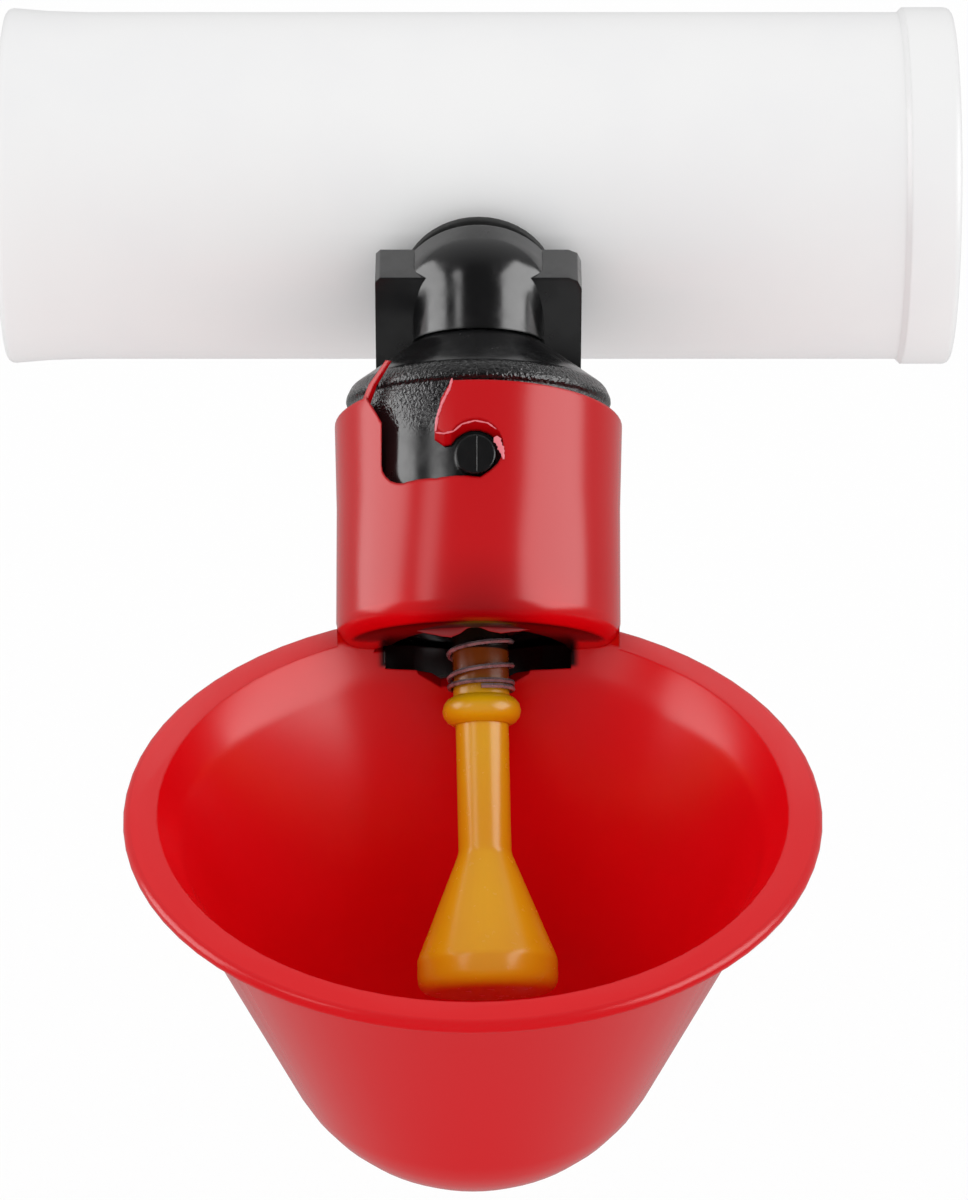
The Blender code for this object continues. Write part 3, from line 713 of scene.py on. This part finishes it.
SPRING_FINISH = DrawnSteel(
    name="spring steel",
    # The reddish tint of the steel and its stains is a painted reflection of the red cup.
    colour=(0.34, 0.27, 0.28),
    stain_and_painted_shade=(0.16, 0.11, 0.12),
    roughness=0.2,
    dull=0.4,
    metal=0.4,
    scratch=0.004 * MM,
)
RUBBER_FINISH = Rubber(
    name="washer rubber",
    colour=(0.02, 0.02, 0.02),
    bloom=(0.036, 0.036, 0.036),
    roughness=0.6,
    edge=0.25 * MM,
    grain=0.02 * MM,
)
# Pale pink of torn flash, also used as a painted highlight along the hook's inner edge.
FLASH_AND_HIGHLIGHT_FINISH = MouldedPlastic(
    name="torn red flash",
    colour=(0.8, 0.2, 0.24),
    deep=(0.7, 0.06, 0.08),
    roughness=0.4,
    dull=0.5,
    edge=0.05 * MM,
    ripple=0.01 * MM,
    grain=0.002 * MM,
)
# Red flash at the hood's lip, painted darker as the shade under the hood.
LIP_SHADE_FINISH = MouldedPlastic(
    name="deep red flash",
    colour=(0.34, 0.0, 0.003),
    deep=(0.27, 0.0, 0.002),
    roughness=0.5,
    dull=0.55,
    edge=0.05 * MM,
    ripple=0.02 * MM,
    grain=0.002 * MM,
)

FINISH_OF_NODE = {
    "pipe": PIPE_FINISH,
    "inlet_washer": RUBBER_FINISH,
    "valve_body": VALVE_FINISH,
    "seat_seal": RUBBER_FINISH,
    "seal_retainer": VALVE_FINISH,
    "valve_pin": SPRING_FINISH,
    "trigger": TRIGGER_FINISH,
    "return_spring": SPRING_FINISH,
    "cup": CUP_FINISH,
}


@dataclass(frozen=True)
class View:
    """The camera that looks down at the cup.

    Attributes:
        place: where it stands.
        elevation: how far it looks down.
        lens: focal length in millimetres.
        film: width of its film in millimetres.
        nearest: the nearest that it sees.
        farthest: the farthest that it sees.
    """

    place: Point
    elevation: float
    lens: float = 180.0
    film: float = 36.0
    nearest: float = 0.01
    farthest: float = 20.0

    def build(self) -> bpy.types.Object:
        """Makes the camera and sets it as the scene's.

        Returns:
            The camera.
        """
        data = bpy.data.cameras.new("view")
        data.lens = self.lens
        data.sensor_width = self.film
        data.clip_start = self.nearest
        data.clip_end = self.farthest
        camera = bpy.data.objects.new("view", data)
        camera.location = self.place
        camera.rotation_euler = (math.pi / 2.0 - self.elevation, 0.0, 0.0)
        bpy.context.scene.collection.objects.link(camera)
        bpy.context.scene.camera = camera
        return camera


@dataclass(frozen=True)
class SoftBox:
    """A soft box of the studio, which shows only in glossy surfaces.

    Attributes:
        name: its name.
        place: where it stands.
        width: its width.
        height: its height.
        power: its power in watts.
        aim: what it points at.
    """

    name: str
    place: Point
    width: float
    height: float
    power: float
    aim: Point = (0.0, -0.06, -0.02)

    def build(self) -> bpy.types.Object:
        """Makes the lamp.

        Returns:
            The lamp.
        """
        data = bpy.data.lights.new(self.name, "AREA")
        data.shape = "RECTANGLE"
        data.size = self.width
        data.size_y = self.height
        data.energy = self.power
        lamp = bpy.data.objects.new(self.name, data)
        lamp.location = self.place
        lamp.rotation_euler = (Vector(self.aim) - Vector(self.place)).to_track_quat("-Z", "Y").to_euler()
        lamp.visible_diffuse = False
        bpy.context.scene.collection.objects.link(lamp)
        return lamp


@dataclass(frozen=True)
class Surroundings:
    """The white room: pure white behind the object and soft light from all round.

    Attributes:
        light: the room's light from below and from above.
        mirrored: what glossy pieces mirror in front, where the room is dark, and behind.
        upward: the directions, -1 down and 1 up, between which the light changes.
        backward: the directions, -1 in front and 1 behind, between which the mirrored light changes.
    """

    light: Pair
    mirrored: Pair
    upward: Pair = (-0.6, 0.5)
    backward: Pair = (-0.4, 0.8)

    def build(self) -> None:
        """Sets the world."""
        world = bpy.data.worlds.new("white room")
        bpy.context.scene.world = world
        world.use_nodes = True
        world.cycles.sampling_method = "NONE"
        tree = world.node_tree
        tree.nodes.clear()
        output = tree.nodes.new("ShaderNodeOutputWorld")
        path = tree.nodes.new("ShaderNodeLightPath")
        compass = tree.nodes.new("ShaderNodeSeparateXYZ")
        tree.links.new(tree.nodes.new("ShaderNodeTexCoord").outputs["Generated"], compass.inputs[0])
        glow = self._fall(tree, compass.outputs["Z"], self.upward, self.light)
        shine = self._fall(tree, compass.outputs["Y"], self.backward, self.mirrored)
        lit = self._pick(tree, path.outputs["Is Glossy Ray"], glow, shine)
        plain = tree.nodes.new("ShaderNodeBackground")
        plain.inputs["Color"].default_value = WHITE
        seen = self._pick(tree, path.outputs["Is Camera Ray"], lit, plain.outputs[0])
        tree.links.new(seen, output.inputs["Surface"])

    @staticmethod
    def _fall(tree: bpy.types.NodeTree, value: Socket, edges: Pair, strengths: Pair) -> Socket:
        """Adds white light that changes along a direction.

        Args:
            tree: the world's nodes.
            value: the direction's measure.
            edges: the measures between which it changes.
            strengths: the light's strengths there.

        Returns:
            The light.
        """
        fall = tree.nodes.new("ShaderNodeMapRange")
        for socket, number in zip(("From Min", "From Max", "To Min", "To Max"), (*edges, *strengths)):
            fall.inputs[socket].default_value = number
        tree.links.new(value, fall.inputs["Value"])
        light = tree.nodes.new("ShaderNodeBackground")
        light.inputs["Color"].default_value = WHITE
        tree.links.new(fall.outputs["Result"], light.inputs["Strength"])
        return light.outputs[0]

    @staticmethod
    def _pick(tree: bpy.types.NodeTree, chosen: Socket, otherwise: Socket, light: Socket) -> Socket:
        """Picks a light for one kind of ray.

        Args:
            tree: the world's nodes.
            chosen: 1 for that kind of ray, 0 for any other.
            otherwise: the light for the others.
            light: the light for that kind.

        Returns:
            The light for all rays.
        """
        mix = tree.nodes.new("ShaderNodeMixShader")
        tree.links.new(chosen, mix.inputs["Fac"])
        tree.links.new(otherwise, mix.inputs[1])
        tree.links.new(light, mix.inputs[2])
        return mix.outputs[0]


def finished(name: str, shape: bmesh.types.BMesh, finish: bpy.types.Material) -> bpy.types.Object:
    """Turns a shape into a finished piece that rides on nothing yet.

    Args:
        name: the piece's name.
        shape: the mesh, in the frame's metres.
        finish: its material.

    Returns:
        The piece.
    """
    bmesh.ops.remove_doubles(shape, verts=shape.verts, dist=DOUBLE_POINTS)
    bmesh.ops.recalc_face_normals(shape, faces=shape.faces)
    mesh = bpy.data.meshes.new(name)
    shape.to_mesh(mesh)
    shape.free()
    mesh.materials.append(finish)
    mesh.shade_smooth()
    mesh.set_sharp_from_angle(angle=SHARP_ANGLE)
    piece = bpy.data.objects.new(name, mesh)
    bpy.context.scene.collection.objects.link(piece)
    return piece


def keep(
    name: str,
    shape: bmesh.types.BMesh,
    finish: bpy.types.Material,
    body: Body,
) -> bpy.types.Object:
    """Turns a shape into a finished piece that rides on a body.

    Args:
        name: the piece's name.
        shape: the mesh, in the frame's metres.
        finish: its material.
        body: the body it rides on.

    Returns:
        The piece.
    """
    piece = finished(name, shape, finish)
    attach(piece, body.value)
    LOG.info("%s rides on %s", name, body.value)
    return piece


class Skin:
    """The surface of a piece of the frame, found along straight lines from its near side."""

    LINE_START = 30.0 * MM
    LINE_LENGTH = 45.0 * MM

    def __init__(self, node: bpy.types.Object) -> None:
        """Reads a piece of the frame.

        Args:
            node: the piece.
        """
        self.tree = BVHTree.FromPolygons(
            [node.matrix_world @ vertex.co for vertex in node.data.vertices],
            [tuple(face.vertices) for face in node.data.polygons],
        )

    def over_outlet(self, sideways: float, place: float) -> tuple[Vector, Vector]:
        """Finds the surface on the outlet's near side.

        Args:
            sideways: distance to the right of the outlet's axis.
            place: distance down the axis.

        Returns:
            The point of the surface and its outward direction.
        """
        start = AXIS.point(sideways, self.LINE_START, place)
        point, outward, _, _ = self.tree.ray_cast(start, -AXIS.near, self.LINE_LENGTH)
        if point is None:
            raise ValueError(f"no surface at {sideways:.4f}, {place:.4f}")
        if outward.dot(AXIS.near) < 0.0:
            outward = -outward
        return point, outward


@dataclass(frozen=True)
class Station:
    """One place along a ridge.

    Attributes:
        point: where it is.
        outward: unit direction away from the surface.
        half_width: half the ridge's width there.
        height: how far the ridge stands proud there.
    """

    point: Vector
    outward: Vector
    half_width: float
    height: float

    @classmethod
    def on_tube(
        cls,
        sideways: float,
        place: float,
        radius: float,
        half_width: float,
        height: float,
    ) -> Station:
        """Gives a place on the near side of a tube round the outlet's axis.

        Args:
            sideways: distance to the right.
            place: distance down the axis.
            radius: the tube's radius.
            half_width: half the ridge's width.
            height: how far the ridge stands proud.

        Returns:
            The place.
        """
        out = math.sqrt(radius ** 2 - sideways ** 2)
        outward = Vector((sideways, 0.0, 0.0)) + AXIS.near * out
        return cls(AXIS.point(sideways, out, place), outward.normalized(), half_width, height)


def ridge(stations: list[Station], sides: int = 6) -> bmesh.types.BMesh:
    """Makes a thin closed ridge that lies on a surface.

    Args:
        stations: the places along it.
        sides: corners of the ridge's section.

    Returns:
        The mesh.
    """
    shape = bmesh.new()
    loops = []
    for index, station in enumerate(stations):
        ahead = stations[min(index + 1, len(stations) - 1)].point - stations[max(index - 1, 0)].point
        across = ahead.cross(station.outward).normalized()
        up = across.cross(ahead).normalized()
        if up.dot(station.outward) < 0.0:
            up = -up
        ring = bmesh.ops.create_circle(shape, segments=sides, radius=1.0)["verts"]
        turn = Matrix((across, up, ahead.normalized())).transposed().to_4x4()
        size = Matrix.Diagonal((station.half_width, station.height, 1.0, 1.0))
        bmesh.ops.transform(shape, verts=ring, matrix=Matrix.Translation(station.point) @ turn @ size)
        loops.append(list({edge for vertex in ring for edge in vertex.link_edges}))
    for near_loop, far_loop in zip(loops, loops[1:]):
        bmesh.ops.bridge_loops(shape, edges=near_loop + far_loop)
    for loop in (loops[0], loops[-1]):
        bmesh.ops.contextual_create(shape, geom=loop)
    return shape


@dataclass(frozen=True)
class ElbowBend:
    """The smooth bend of the valve's elbow, laid over the frame's plain mitre.

    Its top is a crowned arch along the inlet, its front a barrel round the outlet's axis.

    Attributes:
        barrel: radius of the barrel, and half the bend's width.
        crown: height of its top above the pipe's axis.
        crown_radius: radius of its crowned top.
        back: where it starts, in front of the elbow's corner.
        side_front: where the arch's sides end, in front of the elbow's corner.
        blend: how softly the sides run into the barrel.
        bend: half the length over which the top bends into the front.
        bend_steps: number of places on each side of a point that its rounding takes in.
        foot: where it ends, down the outlet's axis.
        wall: its thickness.
        across: number of strips across it.
        along: number of strips along it.
    """

    barrel: float = 6.4 * MM
    crown: float = 7.92 * MM
    crown_radius: float = 8.3 * MM
    back: float = -3.55 * MM
    side_front: float = 0.75 * MM
    blend: float = 0.9 * MM
    bend: float = 1.9 * MM
    bend_steps: int = 4
    foot: float = 3.6 * MM
    wall: float = 0.7 * MM
    across: int = 36
    along: int = 44

    def profile(self, sideways: float) -> list[Vector]:
        """Gives the side view of one strip, before its corner is rounded.

        Args:
            sideways: distance to the right.

        Returns:
            Points of reach and height, from the back of the top to the foot of the front.
        """
        top = self.crown - self.crown_radius + math.sqrt(self.crown_radius ** 2 - sideways ** 2)
        line = DIAGONAL * math.sqrt(max(self.barrel ** 2 - sideways ** 2, 0.0))
        low = (line - self.foot * DIAGONAL) / 2.0
        points = [Vector((self.back, top))]
        for step in range(self.along + 1):
            height = top + (low - top) * step / self.along
            gap = line - height - self.side_front
            reach = self.side_front + 0.5 * (gap + math.sqrt(gap * gap + self.blend ** 2))
            points.append(Vector((reach, height)))
        return points

    def rounded(self, points: list[Vector], share: float) -> Vector:
        """Walks along a side view and rounds its corner.

        Args:
            points: the side view.
            share: 0 at its start, 1 at its end.

        Returns:
            The point of reach and height.
        """
        lengths = [(far - near).length for near, far in zip(points, points[1:])]
        total = sum(lengths)
        middle = share * total
        window = min(self.bend, middle, total - middle)
        spots = []
        for step in range(-self.bend_steps, self.bend_steps + 1):
            left = middle + window * step / self.bend_steps
            index = 0
            while index < len(lengths) - 1 and left > lengths[index]:
                left -= lengths[index]
                index += 1
            spots.append(points[index].lerp(points[index + 1], min(left / lengths[index], 1.0)))
        return sum(spots, Vector((0.0, 0.0))) / len(spots)

    def build(self, finish: bpy.types.Material) -> bpy.types.Object:
        """Makes the piece.

        Args:
            finish: its material.

        Returns:
            The piece.
        """
        shape = bmesh.new()
        bmesh.ops.create_grid(shape, x_segments=self.across, y_segments=self.along, size=1.0)
        for vertex in shape.verts:
            sideways = self.barrel * math.sin(0.5 * math.pi * vertex.co.x)
            spot = self.rounded(self.profile(sideways), (vertex.co.y + 1.0) / 2.0)
            vertex.co = AXIS.corner + Vector((sideways, -spot.x, spot.y))
        bmesh.ops.recalc_face_normals(shape, faces=shape.faces)
        bmesh.ops.solidify(shape, geom=shape.faces[:], thickness=self.wall)
        return keep("elbow_bend", shape, finish, Body.FIXED)


@dataclass(frozen=True)
class PartingLine:
    """The fine line that the mould's halves leave down the valve's front and over its lug.

    Attributes:
        stretches: places down the outlet where each stretch starts and ends.
        half_width: half its width.
        height: how far it stands proud.
        step: distance between its places.
        sideways: how far it lies to the right of the outlet's axis.
    """

    stretches: Spots = ((4.4 * MM, 12.6 * MM), (17.3 * MM, 21.0 * MM))
    half_width: float = 0.06 * MM
    height: float = 0.05 * MM
    step: float = 0.2 * MM
    sideways: float = -0.15 * MM

    def build(self, skin: Skin, finish: bpy.types.Material) -> list[bpy.types.Object]:
        """Makes the pieces.

        Args:
            skin: the valve's surface.
            finish: their material.

        Returns:
            The pieces.
        """
        pieces = []
        for number, (start, end) in enumerate(self.stretches):
            stations = []
            for index in range(round((end - start) / self.step) + 1):
                point, outward = skin.over_outlet(self.sideways, start + index * self.step)
                stations.append(Station(point, outward, self.half_width, self.height))
            name = f"valve_parting_line_{number + 1}"
            pieces.append(keep(name, ridge(stations), finish, Body.FIXED))
        return pieces


@dataclass(frozen=True)
class RaggedEdge:
    """A ragged pale ridge round the cup's near slot: flash that the mould left, and along the hook's inner
    edge a painted highlight.

    Attributes:
        name: the piece's name.
        spots: its places in millimetres, sideways and down the outlet.
        half_width: half its mean width.
        taper: share of its width that it loses towards its end.
        radius: radius of the neck's outside there.
        step: distance between its places.
        end_share: share of its width at its ends.
        end_gain: share that it gains with each place from an end.
        waver: share by which its width wavers.
        waves: the wavering's two angles to a place, in radians.
        rise: its height as a share of its width.
        rise_width: the width from which it rises no further.
    """

    name: str
    spots: Spots
    half_width: float
    taper: float
    radius: float = 15.44 * MM
    step: float = 0.22 * MM
    end_share: float = 0.45
    end_gain: float = 0.25
    waver: float = 0.4
    waves: Pair = (2.3, 1.1)
    rise: float = 0.7
    rise_width: float = 0.16 * MM

    def walk(self) -> list[Pair]:
        """Walks along the edge in equal steps.

        Returns:
            The places in millimetres, sideways and down the outlet.
        """
        places = []
        for near, far in zip(self.spots, self.spots[1:]):
            count = max(round(math.dist(near, far) * MM / self.step), 1)
            for index in range(count):
                share = index / count
                places.append(tuple(start + (end - start) * share for start, end in zip(near, far)))
        return [*places, self.spots[-1]]

    def build(self, finish: bpy.types.Material) -> bpy.types.Object:
        """Makes the piece.

        Args:
            finish: its material.

        Returns:
            The piece.
        """
        walk = self.walk()
        stations = []
        for index, (sideways, place) in enumerate(walk):
            end = min(1.0, self.end_share + self.end_gain * min(index, len(walk) - 1 - index))
            taper = 1.0 - self.taper * index / len(walk)
            waver = 1.0 + self.waver * math.sin(self.waves[0] * index) * math.cos(self.waves[1] * index)
            width = self.half_width * end * taper * waver
            height = self.rise * min(width, self.rise_width)
            stations.append(Station.on_tube(sideways * MM, place * MM, self.radius, width, height))
        return keep(self.name, ridge(stations), finish, Body.FIXED)


@dataclass(frozen=True)
class HoodFlash:
    """The ragged flash that hangs from the lip of the cup's hood.

    Attributes:
        spots: its places sideways and its lengths there, in millimetres.
        radius: radius of the lip.
        place: where the lip lies, down the outlet.
        half_thickness: half its thickness.
        sides: corners of its section.
    """

    spots: Spots
    radius: float = 10.75 * MM
    place: float = 36.6 * MM
    half_thickness: float = 0.12 * MM
    sides: int = 12

    def build(self, finish: bpy.types.Material) -> bpy.types.Object:
        """Makes the piece.

        Args:
            finish: its material.

        Returns:
            The piece.
        """
        stations = []
        for sideways, length in self.spots:
            half = 0.5 * length * MM
            place = self.place + half
            stations.append(Station.on_tube(sideways * MM, place, self.radius, half, self.half_thickness))
        return keep("hood_flash", ridge(stations, self.sides), finish, Body.FIXED)


@dataclass(frozen=True)
class SprungCoil:
    """The trigger's coil spring, copied from the frame's spring, which it hides.

    Attributes:
        head: where it leaves the retainer, down the outlet's axis.
        foot: where it rests on the trigger's collar.
    """

    head: float = 31.6 * MM
    foot: float = 41.0 * MM

    def build(self, node: bpy.types.Object, finish: bpy.types.Material) -> bpy.types.Object:
        """Makes the piece from the frame's spring.

        Args:
            node: the frame's spring.
            finish: its material.

        Returns:
            The piece.
        """
        shape = bmesh.new()
        shape.from_mesh(node.data)
        coil = finished("sprung_coil", shape, finish)
        start, end = AXIS.point(0.0, 0.0, self.head), AXIS.point(0.0, 0.0, self.foot)
        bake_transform(coil)
        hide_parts(node.name)
        LOG.info("sprung_coil bends between %s and %s", Body.SPRING.value, Body.TRIGGER.value)
        return coil


@dataclass(frozen=True)
class Floor:
    """The plain white floor below the hanging cup.

    Attributes:
        size: half its side.
        drop: how far it lies below the pipe's axis.
        colour: its colour.
        roughness: its gloss.
        pores: depth of its pores.
    """

    size: float = 6.0
    drop: float = 0.35
    colour: Colour = (0.92, 0.92, 0.92)
    roughness: float = 0.9
    pores: float = 0.01 * MM

    def build(self) -> bpy.types.Object:
        """Makes the floor.

        Returns:
            The floor.
        """
        graph = Graph("white floor")
        finish = graph.surface(
            Base_Color=self.colour,
            Roughness=self.roughness,
            Specular_IOR_Level=0.0,
            Normal=graph.bump(graph.noise(FLOOR_PORES), self.pores),
        )
        shape = bmesh.new()
        bmesh.ops.create_grid(shape, x_segments=1, y_segments=1, size=self.size)
        bmesh.ops.translate(shape, verts=shape.verts, vec=(0.0, 0.0, -self.drop))
        mesh = bpy.data.meshes.new("floor")
        shape.to_mesh(mesh)
        shape.free()
        mesh.materials.append(finish)
        floor = bpy.data.objects.new("floor", mesh)
        floor.visible_glossy = False
        floor.visible_diffuse = False
        bpy.context.scene.collection.objects.link(floor)
        return floor


NECK_FLASH = (
    RaggedEdge(
        name="hook_side_flash",
        spots=((-2.75, 11.0), (-3.0, 12.0), (-3.8, 13.6), (-4.3, 15.0), (-4.5, 16.6)),
        half_width=0.15 * MM,
        taper=0.0,
    ),
    # Flash at the hook's tip, then a pale ridge along the hook's inner edge that is a painted highlight
    # where the edge catches the light.
    RaggedEdge(
        name="hook_foot_flash_and_painted_highlight",
        spots=(
            (-4.5, 16.75),
            (-3.6, 16.9),
            (-2.6, 16.7),
            (-1.7, 15.95),
            (-0.33, 15.6),
            (1.0, 15.85),
            (1.9, 16.5),
        ),
        half_width=0.105 * MM,
        taper=0.3,
    ),
    RaggedEdge(
        name="torn_flash",
        spots=((1.8, 17.3), (2.2, 18.1), (2.5, 18.9), (2.65, 19.7)),
        half_width=0.5 * MM,
        taper=0.7,
    ),
)
HOOD_FLASH = HoodFlash(
    spots=(
        (-6.6, 0.15),
        (-5.5, 0.55),
        (-4.6, 0.8),
        (-3.75, 1.05),
        (-2.9, 1.2),
        (-2.0, 0.85),
        (-1.2, 0.3),
        (-0.4, 0.12),
        (0.3, 0.25),
        (1.2, 0.6),
        (2.4, 0.8),
        (3.4, 0.6),
        (4.2, 0.5),
        (5.1, 0.25),
        (6.1, 0.12),
    ),
)
VIEW = View(place=(0.0006, -0.5798, 0.3385), elevation=math.radians(34.226))
SOFT_BOXES = (
    SoftBox("right soft box", (0.53, -0.2, 0.2), 0.56, 0.5, 3.0),
    SoftBox("left soft box", (-0.58, -0.02, 0.09), 0.4, 0.5, 1.9),
    SoftBox("left front soft box", (-0.42, -0.36, 0.4), 0.14, 0.3, 0.3),
)
SURROUNDINGS = Surroundings(light=(1.12, 1.08), mirrored=(0.02, 0.5))


def paint(nodes: dict[str, bpy.types.Object]) -> dict[str, bpy.types.Material]:
    """Gives each piece of the frame its finish.

    Args:
        nodes: the frame's pieces by name.

    Returns:
        The materials by name.
    """
    made: dict[str, bpy.types.Material] = {}
    for name, thing in nodes.items():
        finish = FINISH_OF_NODE[name]
        if finish.name not in made:
            made[finish.name] = finish.build()
        thing.data.materials.clear()
        thing.data.materials.append(made[finish.name])
    return made


def crease_group() -> bpy.types.NodeTree:
    """Makes the modifier group that shades a piece smooth and keeps its sharp edges.

    Returns:
        The group.
    """
    group = bpy.data.node_groups.new("smooth with sharp edges", "GeometryNodeTree")
    group.interface.new_socket("Geometry", in_out="INPUT", socket_type="NodeSocketGeometry")
    group.interface.new_socket("Geometry", in_out="OUTPUT", socket_type="NodeSocketGeometry")
    start = group.nodes.new("NodeGroupInput")
    end = group.nodes.new("NodeGroupOutput")
    faces = group.nodes.new("GeometryNodeSetShadeSmooth")
    faces.domain = "FACE"
    faces.inputs["Shade Smooth"].default_value = True
    edges = group.nodes.new("GeometryNodeSetShadeSmooth")
    edges.domain = "EDGE"
    edges.inputs["Shade Smooth"].default_value = False
    sharp = group.nodes.new("ShaderNodeMath")
    sharp.operation = "GREATER_THAN"
    sharp.inputs[1].default_value = SHARP_ANGLE
    angle = group.nodes.new("GeometryNodeInputMeshEdgeAngle")
    group.links.new(angle.outputs["Unsigned Angle"], sharp.inputs[0])
    group.links.new(sharp.outputs[0], edges.inputs["Selection"])
    group.links.new(start.outputs[0], faces.inputs["Geometry"])
    group.links.new(faces.outputs[0], edges.inputs["Geometry"])
    group.links.new(edges.outputs[0], end.inputs[0])
    return group


def smooth_frame(nodes: dict[str, bpy.types.Object]) -> None:
    """Shades the frame's pieces smooth, with sharp edges only where the mould had them.

    Args:
        nodes: the frame's pieces by name.
    """
    group = crease_group()
    for thing in nodes.values():
        corners = thing.data.attributes.get("custom_normal")
        if corners is not None:
            thing.data.attributes.remove(corners)
        thing.modifiers.new("split corners joined", "WELD").merge_threshold = SPLIT_CORNERS
        flat = thing.modifiers.new("flat faces joined", "DECIMATE")
        flat.decimate_type = "DISSOLVE"
        flat.angle_limit = FLAT_ANGLE
        thing.modifiers.new("smooth with sharp edges", "NODES").node_group = group


def main() -> None:
    """Builds the scene."""
    logging.basicConfig(level=logging.INFO)
    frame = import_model()
    finishes = paint(frame["nodes"])
    smooth_frame(frame["nodes"])
    black = finishes[VALVE_FINISH.name]
    ElbowBend().build(black)
    PartingLine().build(Skin(frame["nodes"]["valve_body"]), black)
    pale = FLASH_AND_HIGHLIGHT_FINISH.build()
    for edge in NECK_FLASH:
        edge.build(pale)
    HOOD_FLASH.build(LIP_SHADE_FINISH.build())
    SprungCoil().build(frame["nodes"]["return_spring"], finishes[SPRING_FINISH.name])
    Floor().build()
    VIEW.build()
    for soft_box in SOFT_BOXES:
        soft_box.build()
    SURROUNDINGS.build()
    bpy.context.scene.view_settings.view_transform = "Standard"
    LOG.info("%d pieces finished", len(frame["nodes"]))


if __name__ == "__main__":
    main()
